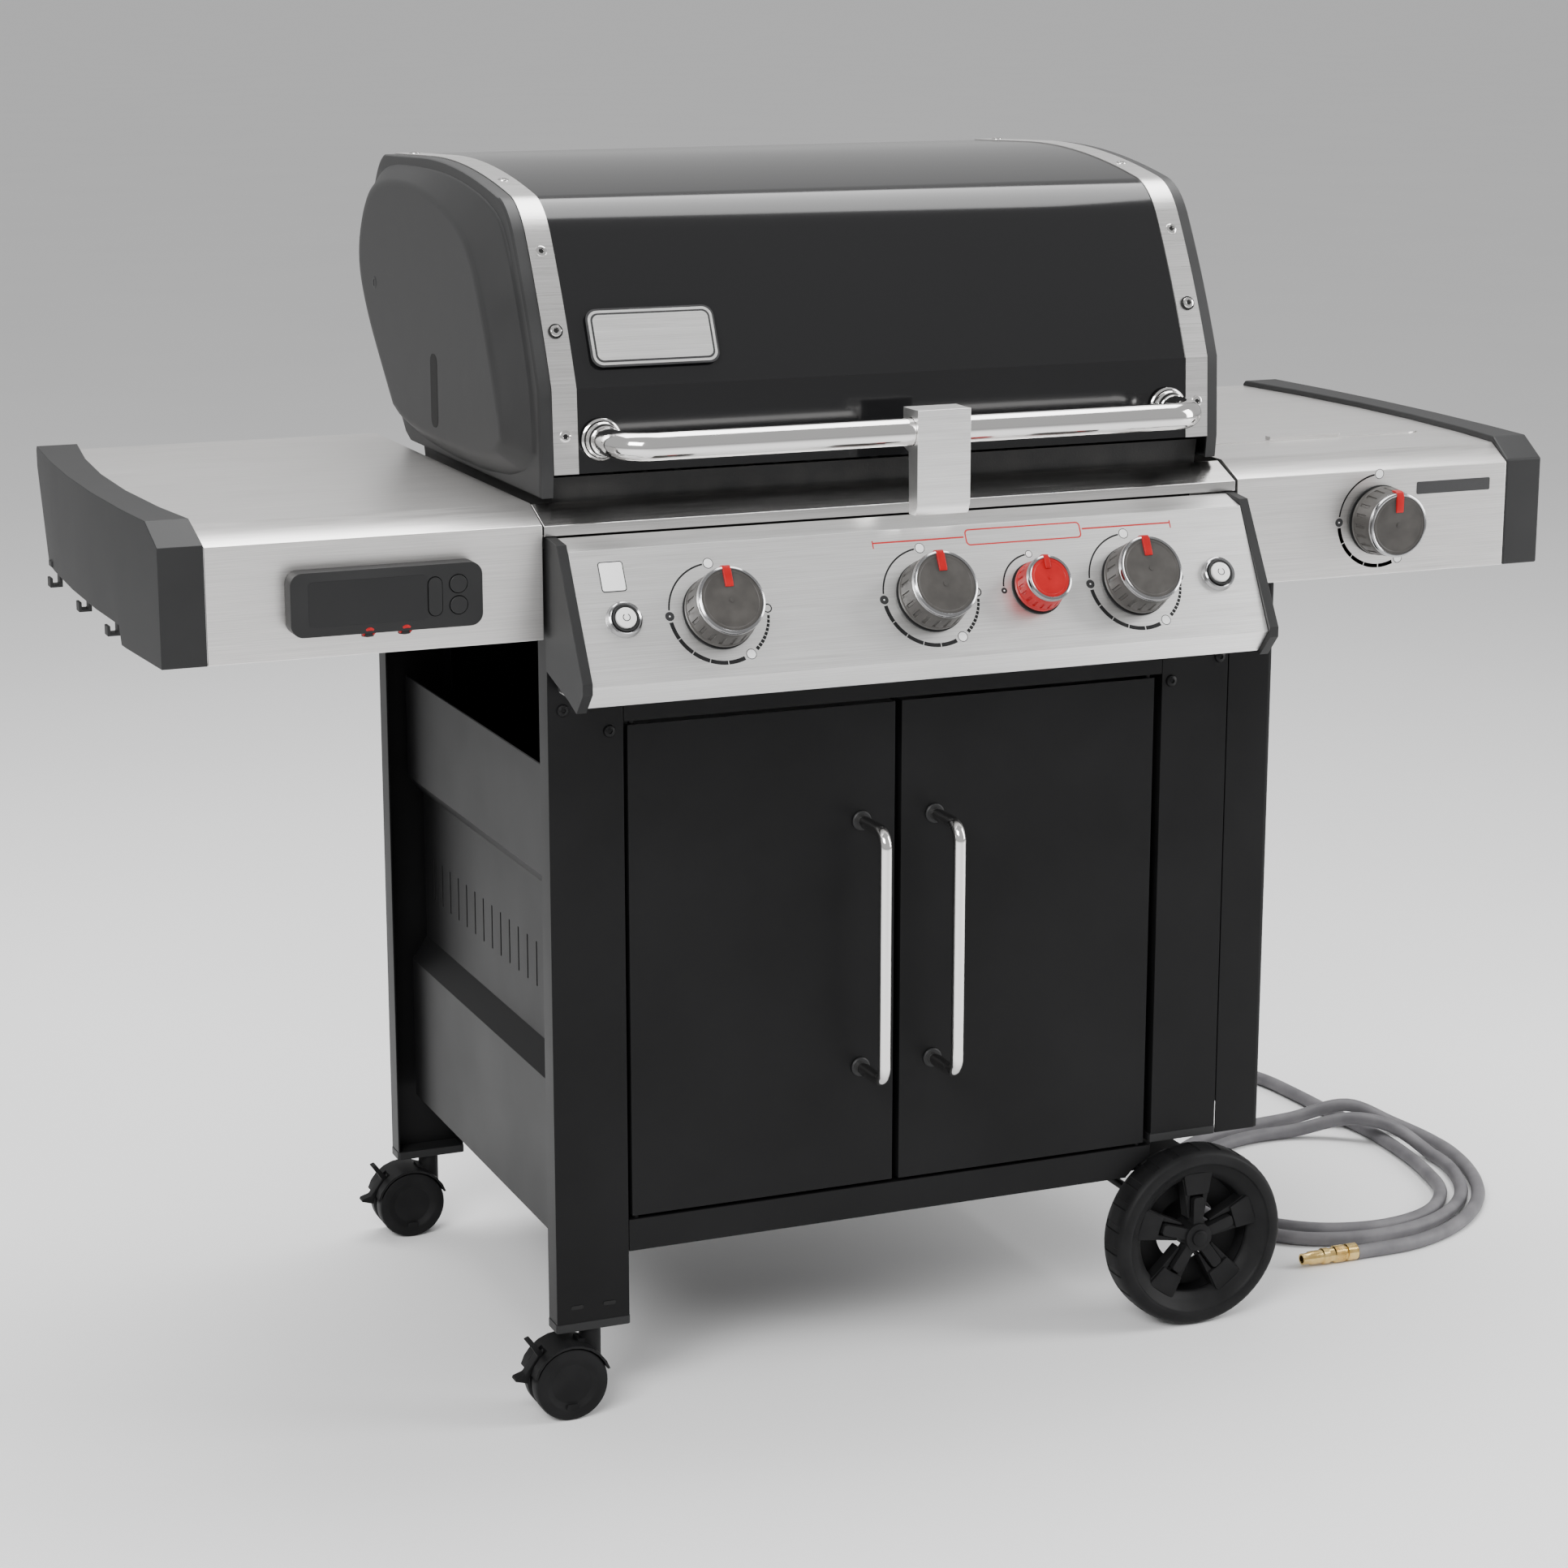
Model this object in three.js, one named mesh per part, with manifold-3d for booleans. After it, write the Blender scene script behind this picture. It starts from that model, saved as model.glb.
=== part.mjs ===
// Gas barbecue grill on a cabinet cart: a hinged lid over a cookbox, three main burners and a sear
// burner behind a slanted control panel, two side tables (a flush side burner in the right one),
// a two-door cabinet on two casters and two large wheels, and a gas hose on the floor.
// Millimetres. X runs to the right, Y to the back and Z up. The origin is on the floor, under the
// middle of the grill's box.
import * as THREE from 'three';
import { mergeVertices } from 'three/addons/utils/BufferGeometryUtils.js';
import { ConvexGeometry } from 'three/addons/geometries/ConvexGeometry.js';
import Module from 'manifold-3d';

const wasm = await Module();
wasm.setup();

// ---- driving dimensions -------------------------------------------------------------------

const GAP = 0.5; // between pieces that meet
const SHEET = 2; // sheet metal

const WHEEL_RADIUS = 98; // large wheels on the right, which the cabinet clears
const CABINET_HALF = 367; // outer faces of the left legs
const CABINET_FRONT = -243;
const CABINET_BACK = 335.5;
const LEG_WIDTH = 76.5;
const LEG_DEPTH = 26;
const LEG_TOP = 880;
const LEFT_LEG_FOOT = 91;
const RIGHT_LEG_FOOT = 2 * WHEEL_RADIUS + 7;
const RIGHT_LEG_OUTER = 372;
const BASE_BOTTOM = 2 * WHEEL_RADIUS - 29; // underside of the bottom pan
const BASE_LIP = 33; // height of its front lip
const HEADER_HEIGHT = 34;

const DOOR_BOTTOM = BASE_BOTTOM + 36.5;
const DOOR_HEIGHT = 501;
const DOOR_THICKNESS = 20;
const DOOR_GAP = 3.5; // each side of a door
const DOOR_PIN_RADIUS = 3;
const DOOR_PIN = { x: 5.5, y: 6 }; // in from the door's outer edge and front face
const HANDLE_OFFSET = 40; // from the middle of the cabinet
const HANDLE_REACH = 60;
const HANDLE_LOW = 329;
const HANDLE_SPAN = 257;
const HANDLE_RADIUS = 6.5;

// Heights of the cookbox, lid, control panel and tables are measured with the deck, which is the
// top of the front header, at this height. They all rise with it.
const DECK = 742;
const DECK_RISE = DOOR_BOTTOM + DOOR_HEIGHT + DOOR_GAP + HEADER_HEIGHT - DECK;

const TABLE_TOP = 921;
const TABLE_HEIGHT = 125.5;
const TABLE_FRONT = -251.5;
const TABLE_BACK = 304.5;
const TABLE_INNER = 372;
const TABLE_END = 694; // where the front panel ends
const TABLE_BULGE = 22; // how far the end arcs out beyond that
const SLOPE_RUN = 35;
const SLOPE_DROP = 16;
const CAP_END = 737;
const CAP_BULGE = 13;
const CAP_RIDGE = 6; // the cap stands this much above the table
const CAP_WALL = 4;

const PANEL_HALF = 357.5; // control panel, to each side
const PANEL_TOP = { y: -282.5, z: 883.6 };
const PANEL_BOTTOM = { y: -346.2, z: 766.5 };
const PANEL_FOLD = { y: -327.5, z: 743.4 };
const PANEL_SHEET = 1.5;
const CHEEK_WIDTH = 10;

const KNOB_DOWN = 70; // from the panel's top edge to the knob axes
const KNOB_RADIUS = 36.5;
const KNOB_HEIGHT = 40;
const STEM_RADIUS = 5;
const STEM_TRAVEL = 3;
const BUTTON_RADIUS = 10.3;
const BUTTON_TRAVEL = 3;
const SIDE_KNOB = { x: 541, z: 853 };

const LID_HALF = 350;
const LID_SHEET = 2;
const LID_END_RIM = 13; // thickness of the cast end at its edge
const LID_END_PLATEAU = 18; // and how much its middle stands out beyond that
const LID_WALL = 5;
const LID_PIVOT = { y: 216.5, z: 1043 };
const PIN_RADIUS = 5;
const LID_HANDLE_RADIUS = 13.5;
const LID_HANDLE_X = 303;
const LID_HANDLE_Y = -290;
const LID_HANDLE_Z = 979;

const BOX_HALF = 348; // cookbox rim
const BOX_FRONT = -207;
const BOX_REAR = 214;
const BOX_RIM = 942;
const BOX_WALL = 4;
const BOX_SHOULDER = 860; // the walls slope in below this
const BOX_FLOOR = 772;
const BOX_OUTLET_HALF = 200;
const BURNER_Z = 872;
const GRATE_Z = 925;

const CASTER_RADIUS = 38;
const CASTER_WIDTH = 46;
const CASTER_TRAIL = 26;
const WHEEL_WIDTH = 45;
const WHEEL_PROUD = 32; // how far each wheel stands out beyond the cabinet
const AXLE_X = 343;
const AXLE_RADIUS = 5;

const HOSE_RADIUS = 8;
const HOSE_OUTLET = { x: 262, y: 346, z: 330 };

// ---- materials ----------------------------------------------------------------------------

const finish = (color, roughness, metalness) => new THREE.MeshStandardMaterial({ color, roughness, metalness });
const enamel = finish(0x0c0c0d, 0.15, 0);
const castEnd = finish(0x2b2c2e, 0.6, 0.2);
const stainless = finish(0xc3bfba, 0.35, 1);
const chrome = finish(0xe6e6e8, 0.08, 1);
const blackSteel = finish(0x1b1b1c, 0.5, 0.1);
const plastic = finish(0x2c2d2f, 0.6, 0);
const knobGrey = finish(0x6d6a66, 0.5, 0.2);
const redPlastic = finish(0xc8151c, 0.4, 0);
const white = finish(0xf2f2f2, 0.3, 0);
const rubber = finish(0x222224, 0.8, 0);
const castIron = finish(0x1a1a1a, 0.7, 0.2);
const hoseGrey = finish(0x77757a, 0.6, 0);
const brass = finish(0xd6b45a, 0.25, 1);

// ---- solids -------------------------------------------------------------------------------

function solidOf(geometry) {
  const bare = geometry.clone();
  bare.deleteAttribute('normal');
  bare.deleteAttribute('uv');
  const merged = mergeVertices(bare);
  const kept = [];
  const index = merged.index.array;
  for (let i = 0; i < index.length; i += 3) {
    const [a, b, c] = [index[i], index[i + 1], index[i + 2]];
    if (a !== b && b !== c && c !== a) kept.push(a, b, c);
  }
  const vertProperties = new Float32Array(merged.attributes.position.array);
  const triVerts = new Uint32Array(kept);
  return new wasm.Manifold(new wasm.Mesh({ numProp: 3, vertProperties, triVerts }));
}

function geometryOf(solid) {
  const mesh = solid.getMesh();
  const geometry = new THREE.BufferGeometry();
  geometry.setAttribute('position', new THREE.BufferAttribute(mesh.vertProperties, 3));
  geometry.setIndex(new THREE.BufferAttribute(mesh.triVerts, 1));
  geometry.computeVertexNormals();
  return geometry;
}

const join = (...solids) => solids.reduce((all, one) => all.add(one));
const cut = (solid, ...tools) => tools.reduce((left, tool) => left.subtract(tool), solid);

function box([x0, x1], [y0, y1], [z0, z1]) {
  const geometry = new THREE.BoxGeometry(x1 - x0, y1 - y0, z1 - z0);
  return solidOf(geometry.translate((x0 + x1) / 2, (y0 + y1) / 2, (z0 + z1) / 2));
}

const shapeOf = (points) => new THREE.Shape(points.map(([u, v]) => new THREE.Vector2(u, v)));

function extruded(shape, depth) {
  return new THREE.ExtrudeGeometry(shape, { depth, bevelEnabled: false, curveSegments: 5 });
}

// A (y, z) outline carried along X, an (x, z) outline along Y, and an (x, y) outline along Z.
function alongX(shape, x0, x1) {
  const turn = new THREE.Matrix4().makeBasis(
    new THREE.Vector3(0, 1, 0), new THREE.Vector3(0, 0, 1), new THREE.Vector3(1, 0, 0));
  return solidOf(extruded(shape, x1 - x0).applyMatrix4(turn).translate(x0, 0, 0));
}

function alongY(shape, y0, y1) {
  return solidOf(extruded(shape, y1 - y0).rotateX(Math.PI / 2).translate(0, y1, 0));
}

const alongZ = (shape, z0, z1) => solidOf(extruded(shape, z1 - z0).translate(0, 0, z0));

// The outline of a folded sheet: the path, and back along it one thickness to its right.
function sheetOutline(path, thickness) {
  const points = path.map(([u, v]) => new THREE.Vector2(u, v));
  const normals = points.slice(1).map((p, i) => {
    const along = p.clone().sub(points[i]).normalize();
    return new THREE.Vector2(along.y, -along.x);
  });
  const inner = points.map((p, i) => {
    const before = normals[Math.max(i - 1, 0)];
    const after = normals[Math.min(i, normals.length - 1)];
    const middle = before.clone().add(after).normalize();
    return p.clone().addScaledVector(middle, thickness / middle.dot(after));
  });
  return new THREE.Shape([...points, ...inner.reverse()]);
}

function aimed(geometry, from, towards) {
  const direction = towards.clone().sub(from).normalize();
  const turn = new THREE.Quaternion().setFromUnitVectors(new THREE.Vector3(0, 1, 0), direction);
  return geometry.applyQuaternion(turn).translate(from.x, from.y, from.z);
}

const at = (x, y, z) => new THREE.Vector3(x, y, z);

function rod(from, to, radius, sides = 16) {
  const length = from.distanceTo(to);
  const geometry = new THREE.CylinderGeometry(radius, radius, length, sides).translate(0, length / 2, 0);
  return solidOf(aimed(geometry, from, to));
}

function turned(profile, from, towards, sides = 24) {
  const points = profile.map(([r, h]) => new THREE.Vector2(r, h));
  return solidOf(aimed(new THREE.LatheGeometry(points, sides), from, towards));
}

function circle(radius, sides) {
  const shape = new THREE.Shape();
  for (let i = 0; i < sides; i += 1) {
    const angle = (i / sides) * 2 * Math.PI;
    const [u, v] = [radius * Math.cos(angle), radius * Math.sin(angle)];
    if (i === 0) shape.moveTo(u, v);
    else shape.lineTo(u, v);
  }
  return shape;
}

function tubeAlong(curve, radius, sides, steps) {
  const settings = { steps, extrudePath: curve, bevelEnabled: false };
  return solidOf(new THREE.ExtrudeGeometry(circle(radius, sides), settings));
}

// A route of straight runs with a round bend at every corner between them.
class Bent extends THREE.Curve {
  constructor(corners, radius, bendSteps) {
    super();
    const last = corners.length - 1;
    this.stations = [{ point: corners[0], tangent: corners[1].clone().sub(corners[0]).normalize() }];
    for (let i = 1; i < last; i += 1) {
      const before = corners[i].clone().sub(corners[i - 1]).normalize();
      const after = corners[i + 1].clone().sub(corners[i]).normalize();
      const turn = before.angleTo(after);
      const reach = radius * Math.tan(turn / 2);
      const start = corners[i].clone().addScaledVector(before, -reach);
      const inward = after.clone().addScaledVector(before, -before.dot(after)).normalize();
      const centre = start.clone().addScaledVector(inward, radius);
      for (let k = 0; k <= bendSteps; k += 1) {
        const angle = (turn * k) / bendSteps;
        const point = centre.clone().addScaledVector(inward, -radius * Math.cos(angle))
          .addScaledVector(before, radius * Math.sin(angle));
        const tangent = before.clone().multiplyScalar(Math.cos(angle)).addScaledVector(inward, Math.sin(angle));
        this.stations.push({ point, tangent });
      }
    }
    const end = corners[last].clone().sub(corners[last - 1]).normalize();
    this.stations.push({ point: corners[last], tangent: end });
    this.steps = this.stations.length - 1;
  }

  getPointAt(u) {
    return this.stations[Math.round(u * this.steps)].point.clone();
  }

  getTangentAt(u) {
    return this.stations[Math.round(u * this.steps)].tangent.clone();
  }
}

function bentTube(corners, bend, radius, sides) {
  const route = new Bent(corners, bend, 5);
  return tubeAlong(route, radius, sides, route.steps);
}

function roundedRect(x0, x1, y0, y1, r) {
  const shape = new THREE.Shape();
  shape.moveTo(x0 + r, y0);
  shape.lineTo(x1 - r, y0).absarc(x1 - r, y0 + r, r, -Math.PI / 2, 0);
  shape.lineTo(x1, y1 - r).absarc(x1 - r, y1 - r, r, 0, Math.PI / 2);
  shape.lineTo(x0 + r, y1).absarc(x0 + r, y1 - r, r, Math.PI / 2, Math.PI);
  shape.lineTo(x0, y0 + r).absarc(x0 + r, y0 + r, r, Math.PI, 1.5 * Math.PI);
  return shape;
}

const mirrored = (solid) => solid.mirror([1, 0, 0]);

// ---- the assembly -------------------------------------------------------------------------

const grill = new THREE.Group();
const deck = new THREE.Group();
deck.position.z = DECK_RISE;
grill.add(deck);

function piece(name, solid, material, parent = grill) {
  const mesh = new THREE.Mesh(geometryOf(solid), material);
  mesh.name = name;
  parent.add(mesh);
  return mesh;
}

// ---- cabinet ------------------------------------------------------------------------------

// A leg is a channel with its open side towards the inside of the cabinet, closed by a foot plate.
function leg(xOuter, side, front, foot) {
  const xInner = xOuter - side * LEG_WIDTH;
  const x = [Math.min(xOuter, xInner), Math.max(xOuter, xInner)];
  const y = front ? [CABINET_FRONT, CABINET_FRONT + LEG_DEPTH] : [CABINET_BACK - LEG_DEPTH, CABINET_BACK];
  const hollowY = front ? [y[0] + SHEET, y[1] + 1] : [y[0] - 1, y[1] - SHEET];
  const outer = box(x, y, [foot, LEG_TOP + DECK_RISE]);
  const hollow = box([x[0] + SHEET, x[1] - SHEET], hollowY, [foot + 8, LEG_TOP + DECK_RISE + 1]);
  return cut(outer, hollow);
}

piece('leg_front_left', leg(-CABINET_HALF, -1, true, LEFT_LEG_FOOT), blackSteel);
piece('leg_rear_left', leg(-CABINET_HALF, -1, false, LEFT_LEG_FOOT), blackSteel);
piece('leg_front_right', leg(RIGHT_LEG_OUTER, 1, true, RIGHT_LEG_FOOT), blackSteel);
piece('leg_rear_right', leg(RIGHT_LEG_OUTER, 1, false, RIGHT_LEG_FOOT), blackSteel);

const INNER_FRONT = CABINET_FRONT + LEG_DEPTH + GAP;
const INNER_BACK = CABINET_BACK - LEG_DEPTH - GAP;
const LEFT_INNER = -CABINET_HALF + LEG_WIDTH + GAP; // between the legs
const RIGHT_INNER = RIGHT_LEG_OUTER - LEG_WIDTH - GAP;

// The left panel stands inside the legs' outer faces, with a long stamped recess and a row of vents.
const PANEL_INSET = 22;
const RECESS = 17;
const LEFT_PANEL_TOP = 651 + DECK_RISE;
const VENT_COUNT = 13;
const VENT_PITCH = 29.4;
{
  const face = -CABINET_HALF + PANEL_INSET;
  const path = [
    [face, LEFT_PANEL_TOP], [face, 538], [face + RECESS, 517],
    [face + RECESS, 352], [face, 327], [face, BASE_BOTTOM],
  ];
  let panel = alongY(sheetOutline(path.reverse(), SHEET), INNER_FRONT, INNER_BACK);
  const middle = (INNER_FRONT + INNER_BACK) / 2 + 50;
  for (let i = 0; i < VENT_COUNT; i += 1) {
    const y = middle + (i - (VENT_COUNT - 1) / 2) * VENT_PITCH;
    panel = cut(panel, box([face + RECESS - 5, face + RECESS + 5], [y - 1.5, y + 1.5], [402, 449]));
  }
  piece('side_panel_left', panel, blackSteel);
}

// The right panel is a deeper folded cover outside the legs.
const RIGHT_PANEL_OUTER = 427;
const RIGHT_PANEL_TOP = 793 + DECK_RISE;
{
  const x0 = RIGHT_LEG_OUTER + 1;
  const path = [
    [x0, CABINET_FRONT], [RIGHT_PANEL_OUTER - 8, CABINET_FRONT],
    [RIGHT_PANEL_OUTER - 2.4, CABINET_FRONT + 2.4], [RIGHT_PANEL_OUTER, CABINET_FRONT + 8],
    [RIGHT_PANEL_OUTER, CABINET_BACK - 4], [x0, CABINET_BACK - 4],
  ];
  const panel = alongZ(sheetOutline(path.reverse(), SHEET), RIGHT_LEG_FOOT, RIGHT_PANEL_TOP);
  piece('side_panel_right', panel, blackSteel);
}

const PAN_RIGHT = RIGHT_LEG_OUTER - 2;
const PAN_LEFT = -CABINET_HALF + PANEL_INSET + SHEET + GAP;
const WHEEL_FRONT_INNER = CABINET_FRONT - WHEEL_PROUD + WHEEL_WIDTH;
const WHEEL_BACK_INNER = CABINET_BACK + WHEEL_PROUD - WHEEL_WIDTH;
const BEARING_PLATE = 8;

// The bottom pan: a floor, a tall front lip below the doors, low lips at the other edges, and two
// bearing plates on its underside that carry the wheel axle.
{
  const z = BASE_BOTTOM;
  const floor = box([PAN_LEFT, PAN_RIGHT], [INNER_FRONT, INNER_BACK], [z, z + SHEET]);
  const backLip = box([PAN_LEFT, PAN_RIGHT], [INNER_BACK - SHEET, INNER_BACK], [z, z + 14]);
  const neck = box([LEFT_INNER, RIGHT_INNER], [CABINET_FRONT, INNER_FRONT + 1], [z, z + SHEET]);
  const lip = box([LEFT_INNER, RIGHT_INNER], [CABINET_FRONT, CABINET_FRONT + SHEET], [z, z + BASE_LIP]);
  const shelf = box([LEFT_INNER, RIGHT_INNER], [CABINET_FRONT, CABINET_FRONT + LEG_DEPTH],
    [z + BASE_LIP - SHEET, z + BASE_LIP]);
  let pan = join(floor, backLip, neck, lip, shelf);
  for (const y of [WHEEL_FRONT_INNER + 8, WHEEL_BACK_INNER - 8 - BEARING_PLATE]) {
    const outline = [
      [AXLE_X - 14, WHEEL_RADIUS - 14], [AXLE_X + 14, WHEEL_RADIUS - 14],
      [AXLE_X + 26, z + 1], [AXLE_X - 40, z + 1],
    ];
    pan = join(pan, alongY(shapeOf(outline), y, y + BEARING_PLATE));
  }
  const bore = rod(at(AXLE_X, CABINET_FRONT, WHEEL_RADIUS), at(AXLE_X, CABINET_BACK, WHEEL_RADIUS), AXLE_RADIUS + GAP);
  const arch = rod(at(AXLE_X, CABINET_FRONT - 5, WHEEL_RADIUS), at(AXLE_X, WHEEL_FRONT_INNER + 4, WHEEL_RADIUS),
    WHEEL_RADIUS + 5, 36);
  pan = cut(pan, bore, arch);
  for (const side of [-1, 1]) {
    const x = side * (middleOfDoors() + doorWidth() / 2 - DOOR_PIN.x);
    const pinY = CABINET_FRONT + DOOR_PIN.y;
    pan = cut(pan, rod(at(x, pinY, z + 10), at(x, pinY, z + BASE_LIP + 5), DOOR_PIN_RADIUS + 0.6));
  }
  piece('bottom_pan', pan, blackSteel);
}

function doorWidth() {
  return -LEFT_INNER - 2 * DOOR_GAP;
}

function middleOfDoors() {
  return DOOR_GAP + doorWidth() / 2;
}

const HEADER_BOTTOM = DOOR_BOTTOM + DOOR_HEIGHT + DOOR_GAP;
{
  const x = [LEFT_INNER, RIGHT_INNER];
  const y = [CABINET_FRONT, CABINET_FRONT + LEG_DEPTH];
  const z = [HEADER_BOTTOM, HEADER_BOTTOM + HEADER_HEIGHT];
  const hollow = box([x[0] - 1, x[1] + 1], [y[0] + SHEET, y[1] + 1], [z[0] + SHEET, z[1] - SHEET]);
  let header = cut(box(x, y, z), hollow);
  for (const side of [-1, 1]) {
    const hinge = side * (middleOfDoors() + doorWidth() / 2 - DOOR_PIN.x);
    const pinY = CABINET_FRONT + DOOR_PIN.y;
    header = cut(header, rod(at(hinge, pinY, z[0] - 5), at(hinge, pinY, z[0] + 8), DOOR_PIN_RADIUS + 0.6));
  }
  piece('front_header', header, blackSteel);
}

const REAR_PANEL_TOP = 722 + DECK_RISE;
{
  const z = [BASE_BOTTOM, REAR_PANEL_TOP];
  const y = [CABINET_BACK - 6, CABINET_BACK - 6 + SHEET];
  let panel = box([LEFT_INNER, RIGHT_INNER], y, z);
  panel = join(panel, box([LEFT_INNER, RIGHT_INNER], [y[0] - 18, y[1]], [z[1] - SHEET, z[1]]));
  const { x } = HOSE_OUTLET;
  const arch = rod(at(AXLE_X, y[0] - 5, WHEEL_RADIUS), at(AXLE_X, y[1] + 5, WHEEL_RADIUS), WHEEL_RADIUS + 5, 36);
  panel = cut(panel, rod(at(x, y[0] - 5, HOSE_OUTLET.z), at(x, y[1] + 5, HOSE_OUTLET.z), 8), arch);
  piece('rear_panel', panel, blackSteel);
}

// ---- doors --------------------------------------------------------------------------------

for (const [name, side] of [['left', -1], ['right', 1]]) {
  const half = doorWidth() / 2;
  const centre = side * middleOfDoors();
  const x = [centre - half, centre + half];
  const y = [CABINET_FRONT, CABINET_FRONT + DOOR_THICKNESS];
  const z = [DOOR_BOTTOM, DOOR_BOTTOM + DOOR_HEIGHT];
  const hollow = box([x[0] + SHEET, x[1] - SHEET], [y[0] + SHEET, y[1] + 1], [z[0] + SHEET, z[1] - SHEET]);
  const hinge = centre + side * (half - DOOR_PIN.x);
  const pinY = CABINET_FRONT + DOOR_PIN.y;
  const lower = rod(at(hinge, pinY, z[0] - 6), at(hinge, pinY, z[0] + 1), DOOR_PIN_RADIUS, 16);
  const upper = rod(at(hinge, pinY, z[1] - 1), at(hinge, pinY, z[1] + 7), DOOR_PIN_RADIUS, 16);
  piece(`door_${name}`, join(cut(box(x, y, z), hollow), lower, upper), blackSteel);

  // The bar handle: two standoffs and the bar in one bent rod.
  const hx = side * HANDLE_OFFSET;
  const out = CABINET_FRONT - HANDLE_REACH;
  const [low, high] = [HANDLE_LOW, HANDLE_LOW + HANDLE_SPAN];
  const corners = [at(hx, y[0] - GAP, low), at(hx, out, low), at(hx, out, high), at(hx, y[0] - GAP, high)];
  piece(`door_handle_${name}`, bentTube(corners, 14, HANDLE_RADIUS, 12), chrome);
}

// ---- cookbox ------------------------------------------------------------------------------

function frustum(top, bottom) {
  const corners = [];
  for (const { half, front, back, z } of [top, bottom]) {
    for (const x of [-half, half]) {
      corners.push(at(x, front, z), at(x, back, z));
    }
  }
  return solidOf(new ConvexGeometry(corners));
}

const burnerPlaces = [-220, 0, 114, 222];
const fasciaDown = new THREE.Vector3(0, PANEL_BOTTOM.y - PANEL_TOP.y, PANEL_BOTTOM.z - PANEL_TOP.z).normalize();
const fasciaOut = new THREE.Vector3(0, fasciaDown.z, -fasciaDown.y);
const onPanel = (x, out) => at(x, PANEL_TOP.y, PANEL_TOP.z)
  .addScaledVector(fasciaDown, KNOB_DOWN).addScaledVector(fasciaOut, out);

const VALVE_DEPTH = 62;
const VALVE_RADIUS = 9;
const MANIFOLD_RADIUS = 8;
const BURNER_RADIUS = 12;
const FEED_RADIUS = 8;
const valveEnd = onPanel(0, -VALVE_DEPTH);
const feedEnd = (x) => at(x, BOX_FRONT + 20, BURNER_Z);

{
  const upperOut = frustum(
    { half: BOX_HALF, front: BOX_FRONT, back: BOX_REAR, z: BOX_RIM },
    { half: BOX_HALF - 6, front: BOX_FRONT + 6, back: BOX_REAR - 6, z: BOX_SHOULDER });
  const t = BOX_WALL;
  const upperIn = frustum(
    { half: BOX_HALF - t, front: BOX_FRONT + t, back: BOX_REAR - t, z: BOX_RIM + 0.01 },
    { half: BOX_HALF - 6 - t, front: BOX_FRONT + 6 + t, back: BOX_REAR - 6 - t, z: BOX_SHOULDER });
  const outlet = BOX_OUTLET_HALF;
  const lowerOut = frustum(
    { half: BOX_HALF - 6, front: BOX_FRONT + 6, back: BOX_REAR - 6, z: BOX_SHOULDER },
    { half: outlet, front: BOX_FRONT + 87, back: BOX_REAR - 84, z: BOX_FLOOR });
  const lowerIn = frustum(
    { half: BOX_HALF - 6 - t, front: BOX_FRONT + 6 + t, back: BOX_REAR - 6 - t, z: BOX_SHOULDER + 0.01 },
    { half: outlet - t, front: BOX_FRONT + 87 + t, back: BOX_REAR - 84 - t, z: BOX_FLOOR - 0.01 });
  let body = cut(join(upperOut, lowerOut), upperIn, lowerIn);

  // Rear baffle, hinge ears, and the two runners that carry the drip tray.
  body = join(body, box([-330, 330], [BOX_REAR - t, BOX_REAR], [BOX_RIM - 5, 1012]));
  for (const side of [-1, 1]) {
    const ear = [
      [LID_PIVOT.y - 30, BOX_RIM - 6], [BOX_REAR, BOX_RIM - 6],
      [LID_PIVOT.y + 15, LID_PIVOT.z], [LID_PIVOT.y + 9, LID_PIVOT.z + 14],
      [LID_PIVOT.y - 9, LID_PIVOT.z + 14], [LID_PIVOT.y - 15, LID_PIVOT.z],
    ];
    const plate = alongX(shapeOf(ear), BOX_HALF - 7, BOX_HALF - 1);
    const pivotAt = (x) => at(x, LID_PIVOT.y, LID_PIVOT.z);
    const bore = rod(pivotAt(BOX_HALF - 20), pivotAt(BOX_HALF + 9), PIN_RADIUS + 0.6);
    const holed = cut(plate, bore);
    body = join(body, side < 0 ? mirrored(holed) : holed);
    const runner = join(
      box([outlet - t, outlet], [BOX_FRONT + 90, BOX_REAR - 88], [BOX_FLOOR - 30, BOX_FLOOR + 3]),
      box([outlet - 16, outlet], [BOX_FRONT + 90, BOX_REAR - 88], [BOX_FLOOR - 32, BOX_FLOOR - 30]));
    body = join(body, side < 0 ? mirrored(runner) : runner);
  }
  for (const x of burnerPlaces) {
    const from = valveEnd.clone().setX(x);
    body = cut(body, rod(from, feedEnd(x), FEED_RADIUS + 2));
  }
  piece('firebox', body, castIron, deck);
}

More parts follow.
